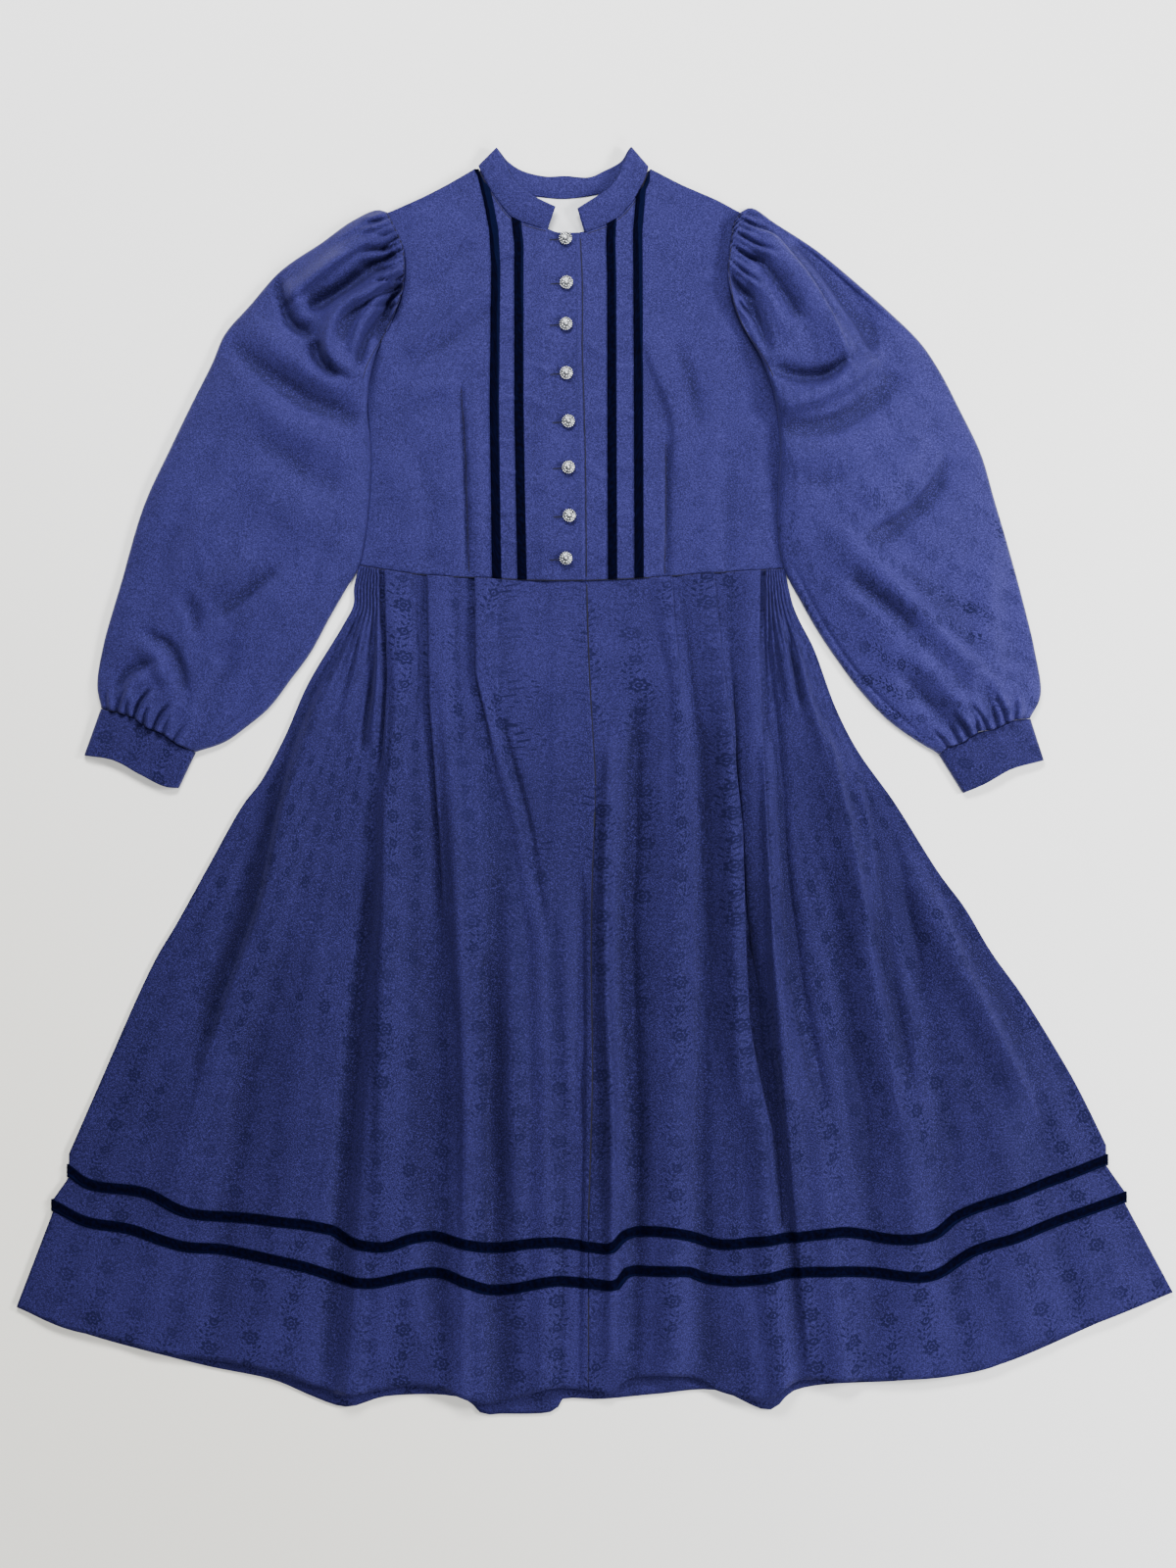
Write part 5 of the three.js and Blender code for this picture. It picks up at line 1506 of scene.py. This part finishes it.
def ring_round(rows, off):
    """The points of a ring: along both fronts, round the side and back under the skirt."""
    right, left, back = (
        panel[rows] + normals_of(panel)[rows] * off * way
        for panel, way in ((upper_skirt, 1), (lower_skirt, 1), (back_skirt, -1))
    )
    return np.concatenate([
        right, left, turn_round(left[:, -1], back[:, -1], 1), back[:, ::-1],
        turn_round(right[:, 0], back[:, 0], -1)[:, ::-1], right[:, :1],
    ], 1)


def hem_ribbon(place, rows):
    points = ring_round(rows, CLOTH / 2 + HEM_RIBBON_GAP + RIBBON_THICKNESS / 2)
    lengths = measured_map(points)[..., ::-1]
    piece = cloth_sheet(f"velvet_hem_{place}", points, lengths, RIBBON_THICKNESS, tube=True)
    return dress_piece(piece, f"hem_ribbon_{place}", material=velvet)


hem_upper = hem_ribbon("upper", ribbon_rows(1))
hem_lower = hem_ribbon("lower", ribbon_rows(3))

# ---------------------------------------------------------------- buttons
# Eight cast metal buttons in dull silver: a beaded rim, a ring of small balls and one large ball
# on a domed plate, on a short shank.
BUTTONS = [
    (577, 245), (578, 290), (577.5, 332), (578, 382), (580, 431), (580, 478), (581, 527),
    (577.5, 570.5),
]
BUTTON_SIDES = 32
BUTTON_TURN = 0.4
BUTTON_GAP = 0.3
# radius and height round the plate and the shank
BUTTON_OUTLINE = [
    (0, 0), (2.2, 0), (2.2, 1.9), (5.6, 2.1), (6.5, 2.6), (6.6, 3.1), (6.1, 3.6), (5.0, 4.3),
    (3.4, 5.1), (1.6, 5.6), (0, 5.7),
]
# how many balls, their radius, how far from the middle, and height
BUTTON_BALLS = [(1, 1.55, 0, 6.0), (18, 0.60, 6.1, 3.7), (9, 0.85, 3.9, 5.1)]


def old_silver(name, recess, raised):
    silver = Finish(name, Metallic=1.0)
    x, y, z = silver.place()
    grime = silver.add("TexNoise", Vector=silver.joined(x, y, z), Scale=0.9, Detail=3.0)
    colour = silver.colours(grime.rise(0.4, 0.62), recess, raised)
    return silver.to(
        Base_Color=colour,
        Roughness=0.26 + grime * 0.3,
        Normal=silver.bumped(grime, 0.0001, 0.4),
    )


def spun(mesh, profile, sides):
    """A turned part from its outline, as (radius, height) from the axis up and back to it."""
    ring = [mesh.verts.new((r * MM, 0, z * MM)) for r, z in profile]
    edges = [mesh.edges.new(pair) for pair in zip(ring, ring[1:])]
    bmesh.ops.spin(
        mesh, geom=ring + edges, cent=(0, 0, 0), axis=(0, 0, 1), dvec=(0, 0, 0),
        angle=2 * math.pi, steps=sides, use_merge=True,
    )
    bmesh.ops.remove_doubles(mesh, verts=mesh.verts[:], dist=1e-7)


def ball(mesh, radius, place):
    """A ball in the second finish."""
    made = bmesh.ops.create_icosphere(mesh, subdivisions=2, radius=radius * MM)
    for vertex in made["verts"]:
        for face in vertex.link_faces:
            face.material_index = 1
    bmesh.ops.translate(mesh, verts=made["verts"], vec=Vector(place) * MM)


def button_mesh():
    mesh = bmesh.new()
    spun(mesh, BUTTON_OUTLINE, BUTTON_SIDES)
    for count, radius, distance, height in BUTTON_BALLS:
        for k in range(count):
            turn = 2 * math.pi * k / count
            ball(mesh, radius, (distance * math.cos(turn), distance * math.sin(turn), height))
    bmesh.ops.recalc_face_normals(mesh, faces=mesh.faces[:])
    for face in mesh.faces:
        face.smooth = True
    return mesh


def on_front(x, y):
    """Height of the buttoned front's face at a place on the layout sheet."""
    px, py = x - SHEET_X, SHEET_Y - y
    near = np.argmin((upper_front[..., 0] - px) ** 2 + (upper_front[..., 1] - py) ** 2)
    return upper_front[..., 2].flat[near] + CLOTH / 2


# The plate is painted far darker than the balls: tarnish, and painted shade down between the balls
button_plate = old_silver("silver_plate", (0.06, 0.064, 0.07), (0.30, 0.31, 0.325))
button_beads = old_silver("silver_beads", (0.72, 0.73, 0.74), (0.96, 0.96, 0.97))
for k, (x, y) in enumerate(BUTTONS):
    made = button_mesh()
    place = Vector((x - SHEET_X, SHEET_Y - y, on_front(x, y) + BUTTON_GAP)) * MM
    turned = Matrix.Rotation(BUTTON_TURN * k, 3, "Z")
    bmesh.ops.rotate(made, verts=made.verts[:], cent=(0, 0, 0), matrix=turned)
    bmesh.ops.translate(made, verts=made.verts[:], vec=place)
    button = object_of(f"silver_button_{k + 1}", made, button_plate, button_beads)
    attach(button, "root")
    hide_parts(f"button_{k + 1}")

# ---------------------------------------------------------------- seams, stitching, buttonholes
# Sewn in blue thread: the closings are topstitched, and every button has a worked buttonhole
# beside it. The joining seams and the buttonhole slits show as narrow near-black strips: painted
# shadow where the seams sink in.
STITCH_LENGTH = 2.0
STITCH_PITCH = 2.8
STITCH_RADIUS = 0.32
LOOK_DOWN_FROM = 0.2
BESIDE = 0.9
LINE_STEP = 1.6
LINE_CROWN, LINE_SUNK = 0.12, -0.05
# a buttonhole's slit beside its button, a strip of painted shadow, and the stitches across its edges
SLIT_OFFSETS = [(-17, 1.5), (-11, 1.2), (-5, 0.8)]
SLIT_WIDTH = 1.5
WORKED_LENGTH, WORKED_PITCH, WORKED_RADIUS, WORKED_ASIDE = 1.3, 0.85, 0.3, 0.95
# width and place of each strip of painted seam shadow
SEAM_LINES = {
    "armhole_right": (1.0, ARMHOLE_RIGHT),
    "armhole_left": (1.0, ARMHOLE_LEFT),
    "waist_right": (0.9, WAIST_RIGHT),
    "waist_left": (0.9, WAIST_LEFT),
    "dart_right": (1.0, [(470.5, 396), (474.5, 450), (477, 520), (479, 586)]),
    "dart_left": (1.0, [(679, 452), (679, 520), (678, 587)]),
    "centre_front": (1.7, [(607.3, 806), (604.4, 901), (603.4, 987), (604.4, 1102), (600.5, 1245)]),
    "hem_seam": (1.3, [(600.5, 1322), (600.3, 1370), (600, 1410)]),
    "front_edge": (1.5, [(592.4, 244), (594.4, 294), (594.4, 357), (597.4, 470), (598.4, 590)]),
    "placket_edge": (1.8, [(598.6, 596), (601.6, 690), (607.8, 803)]),
    "collar_right": (1.1, [(487.5, 173), (499, 194.5), (520, 223.5), (531, 229.5), (559, 238)]),
    "collar_left": (1.1, [(598.5, 240), (619, 232.5), (632, 224.5), (648, 206.5), (662.5, 174)]),
}
STITCH_ROWS = [
    [(588, 243), (589, 300), (589.5, 360), (591.5, 470), (593, 590)],
    [(592.5, 598), (597, 690), (603, 802)],
    [(604, 807), (588, 811.5), (574, 814)],
    [(561, 234), (545, 229), (531, 225), (522, 219.5), (510, 204), (500, 189), (491.5, 172)],
    [(564, 215), (547, 206), (534, 197), (525, 185), (518, 170), (511, 158)],
    [(597, 236), (618, 228), (629, 220.5), (644, 203), (653.5, 186), (658.5, 172)],
    [(592.5, 217), (611, 204), (621, 196), (629, 182), (636, 166), (641, 156)],
    [(88, 767.5), (117, 772), (145, 787), (170, 799), (181, 800.5)],
    [(1063, 772), (1031, 781), (1004, 796), (985, 805)],
]


class Surface:
    """The finished top faces of the sewn pieces, found from above."""

    def __init__(self, pieces):
        ready = bpy.context.evaluated_depsgraph_get()
        self.trees = [BVHTree.FromObject(piece, ready) for piece in pieces]

    def at(self, x, y):
        """The place and the normal of the top face at x, y, or beside it where a seam is open."""
        for aside_x, aside_y in ((0, 0), (0, BESIDE), (0, -BESIDE), (BESIDE, 0), (-BESIDE, 0)):
            origin = Vector(((x + aside_x) * MM, (y + aside_y) * MM, LOOK_DOWN_FROM))
            hits = [tree.ray_cast(origin, Vector((0, 0, -1))) for tree in self.trees]
            hits = [hit for hit in hits if hit[0] is not None]
            if hits:
                top = max(hits, key=lambda hit: hit[0].z)
                up = np.array(top[1]) * math.copysign(1, top[1].z)
                return np.array((x, y, top[0].z / MM)), up
        return None


faces = Surface([
    front_right, front_left, collar, sleeve_right, sleeve_left, cuff_right, cuff_left,
    skirt_front_right, skirt_front_left,
])


def even_steps(rows, step):
    """Places at even steps along a smooth line."""
    length = np.linalg.norm(np.diff(on_sheet(rows), axis=0), axis=1).sum()
    t = (np.arange(int(length / step)) + 0.5) * step / length
    return trace(rows)(t)


def thread_and_shadow_finish(name, shade):
    thread = Finish(name, Specular_IOR_Level=0.3)
    x, y, z = thread.place()
    twist = thread.add("TexNoise", Vector=thread.joined(x, y, z), Scale=1.5, Detail=2.0)
    return thread.to(
        Base_Color=thread.colours(twist, times(0.7, shade), times(1.3, shade)),
        Roughness=0.7 + twist * 0.2,
        Normal=thread.bumped(twist, 0.0001),
    )


def sewn_piece(name, mesh, material):
    """A piece of sewing, which stands for no node of its own."""
    for face in mesh.faces:
        face.smooth = True
    piece = object_of(name, mesh, material)
    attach(piece, "root")


def seam_shadow_strip(mesh, rows, width):
    """A narrow strip of painted shadow lying in the cloth along a seam, three points wide."""
    centre = np.array([spot for spot in even_steps(rows, LINE_STEP) if faces.at(*spot)])
    run = np.gradient(centre, axis=0)
    run /= np.linalg.norm(run, axis=1)[:, None]
    aside = np.stack([-run[:, 1], run[:, 0]], 1) * width / 2
    made = bmesh.ops.create_grid(mesh, x_segments=2, y_segments=len(centre) - 1, size=1)
    for vertex in made["verts"]:
        column = round(vertex.co.x)
        row = round((vertex.co.y + 1) / 2 * (len(centre) - 1))
        place = centre[row] + column * aside[row]
        height = faces.at(*centre[row])[0][2] + (LINE_SUNK if column else LINE_CROWN)
        vertex.co = Vector((*place, height)) * MM


def stitch(mesh, place, run, length, radius):
    """One stitch, a small long bead that lies along the cloth's face."""
    found = faces.at(*place)
    if not found:
        return
    spot, up = found
    made = bmesh.ops.create_icosphere(mesh, subdivisions=1, radius=1)["verts"]
    along = np.array([*run, 0.0]) - np.dot([*run, 0.0], up) * up
    along /= np.linalg.norm(along)
    over = np.cross(up, along)
    for vertex in made:
        a, b, c = vertex.co
        offset = along * a * length / 2 + over * b * radius + up * (c * radius + 0.5 * radius)
        vertex.co = Vector(spot + offset) * MM


seams = bmesh.new()
for width, rows in SEAM_LINES.values():
    seam_shadow_strip(seams, rows, width)
stitches = bmesh.new()
for rows in STITCH_ROWS:
    spots = even_steps(rows, STITCH_PITCH)
    runs = np.gradient(spots, axis=0)
    for spot, run in zip(spots, runs / np.linalg.norm(runs, axis=1)[:, None]):
        stitch(stitches, spot, run, STITCH_LENGTH, STITCH_RADIUS)
for x, y in BUTTONS:
    slit = [(x + right, y + down) for right, down in SLIT_OFFSETS]
    seam_shadow_strip(seams, slit, SLIT_WIDTH)
    for spot in even_steps(slit, WORKED_PITCH):
        for way in (-1, 1):
            beside_slit = spot + (0, way * WORKED_ASIDE)
            stitch(stitches, beside_slit, (0.0, 1.0), WORKED_LENGTH, WORKED_RADIUS)
# painted shadow: the seam and slit strips take a near-black finish, the topstitching real blue thread
sewn_piece("seam_shadow_strips", seams, thread_and_shadow_finish("seam_shade", (0.0012, 0.0012, 0.008)))
sewn_piece("topstitching", stitches, thread_and_shadow_finish("blue_thread", (0.016, 0.016, 0.085)))

# ---------------------------------------------------------------- cut sizes of the cloth pieces
# Width and length each piece was cut to, in metres, and what it lies on. Its area is that of the
# drawn cloth, and never more than nearly all of the rectangle it was cut from.
FULLEST_CUT = 0.98
CUTS = [
    (front_right, (0.24, 0.44), "bodice_back_cloth"),
    (front_left, (0.25, 0.44), "bodice_back_cloth"),
    (bodice_back, (0.46, 0.44), "root"),
    (back_lining, (0.09, 0.07), "bodice_back_cloth"),
    (collar, (0.46, 0.032), "bodice_front_right_cloth"),
    (sleeve_right, (0.56, 0.66), "root"),
    (sleeve_left, (0.56, 0.66), "root"),
    (cuff_right, (0.24, 0.055), "root"),
    (cuff_left, (0.24, 0.055), "root"),
    (skirt_front_right, (0.70, 0.87), "skirt_back_cloth"),
    (skirt_front_left, (0.70, 0.87), "skirt_back_cloth"),
    (skirt_back, (1.22, 0.88), "root"),
    (bodice_ribbons["right_inner"], (0.0102, 0.38), "bodice_front_right_cloth"),
    (bodice_ribbons["right_outer"], (0.0102, 0.43), "bodice_front_right_cloth"),
    (bodice_ribbons["left_inner"], (0.0102, 0.38), "bodice_front_left_cloth"),
    (bodice_ribbons["left_outer"], (0.0102, 0.43), "bodice_front_left_cloth"),
    (hem_upper, (0.0106, 2.30), "skirt_front_right_cloth"),
    (hem_lower, (0.0106, 2.36), "skirt_front_right_cloth"),
]
for piece, flat, under in CUTS:
    drawn = sum(face.area for face in piece.data.polygons)
    area = min(FULLEST_CUT * flat[0] * flat[1], drawn)
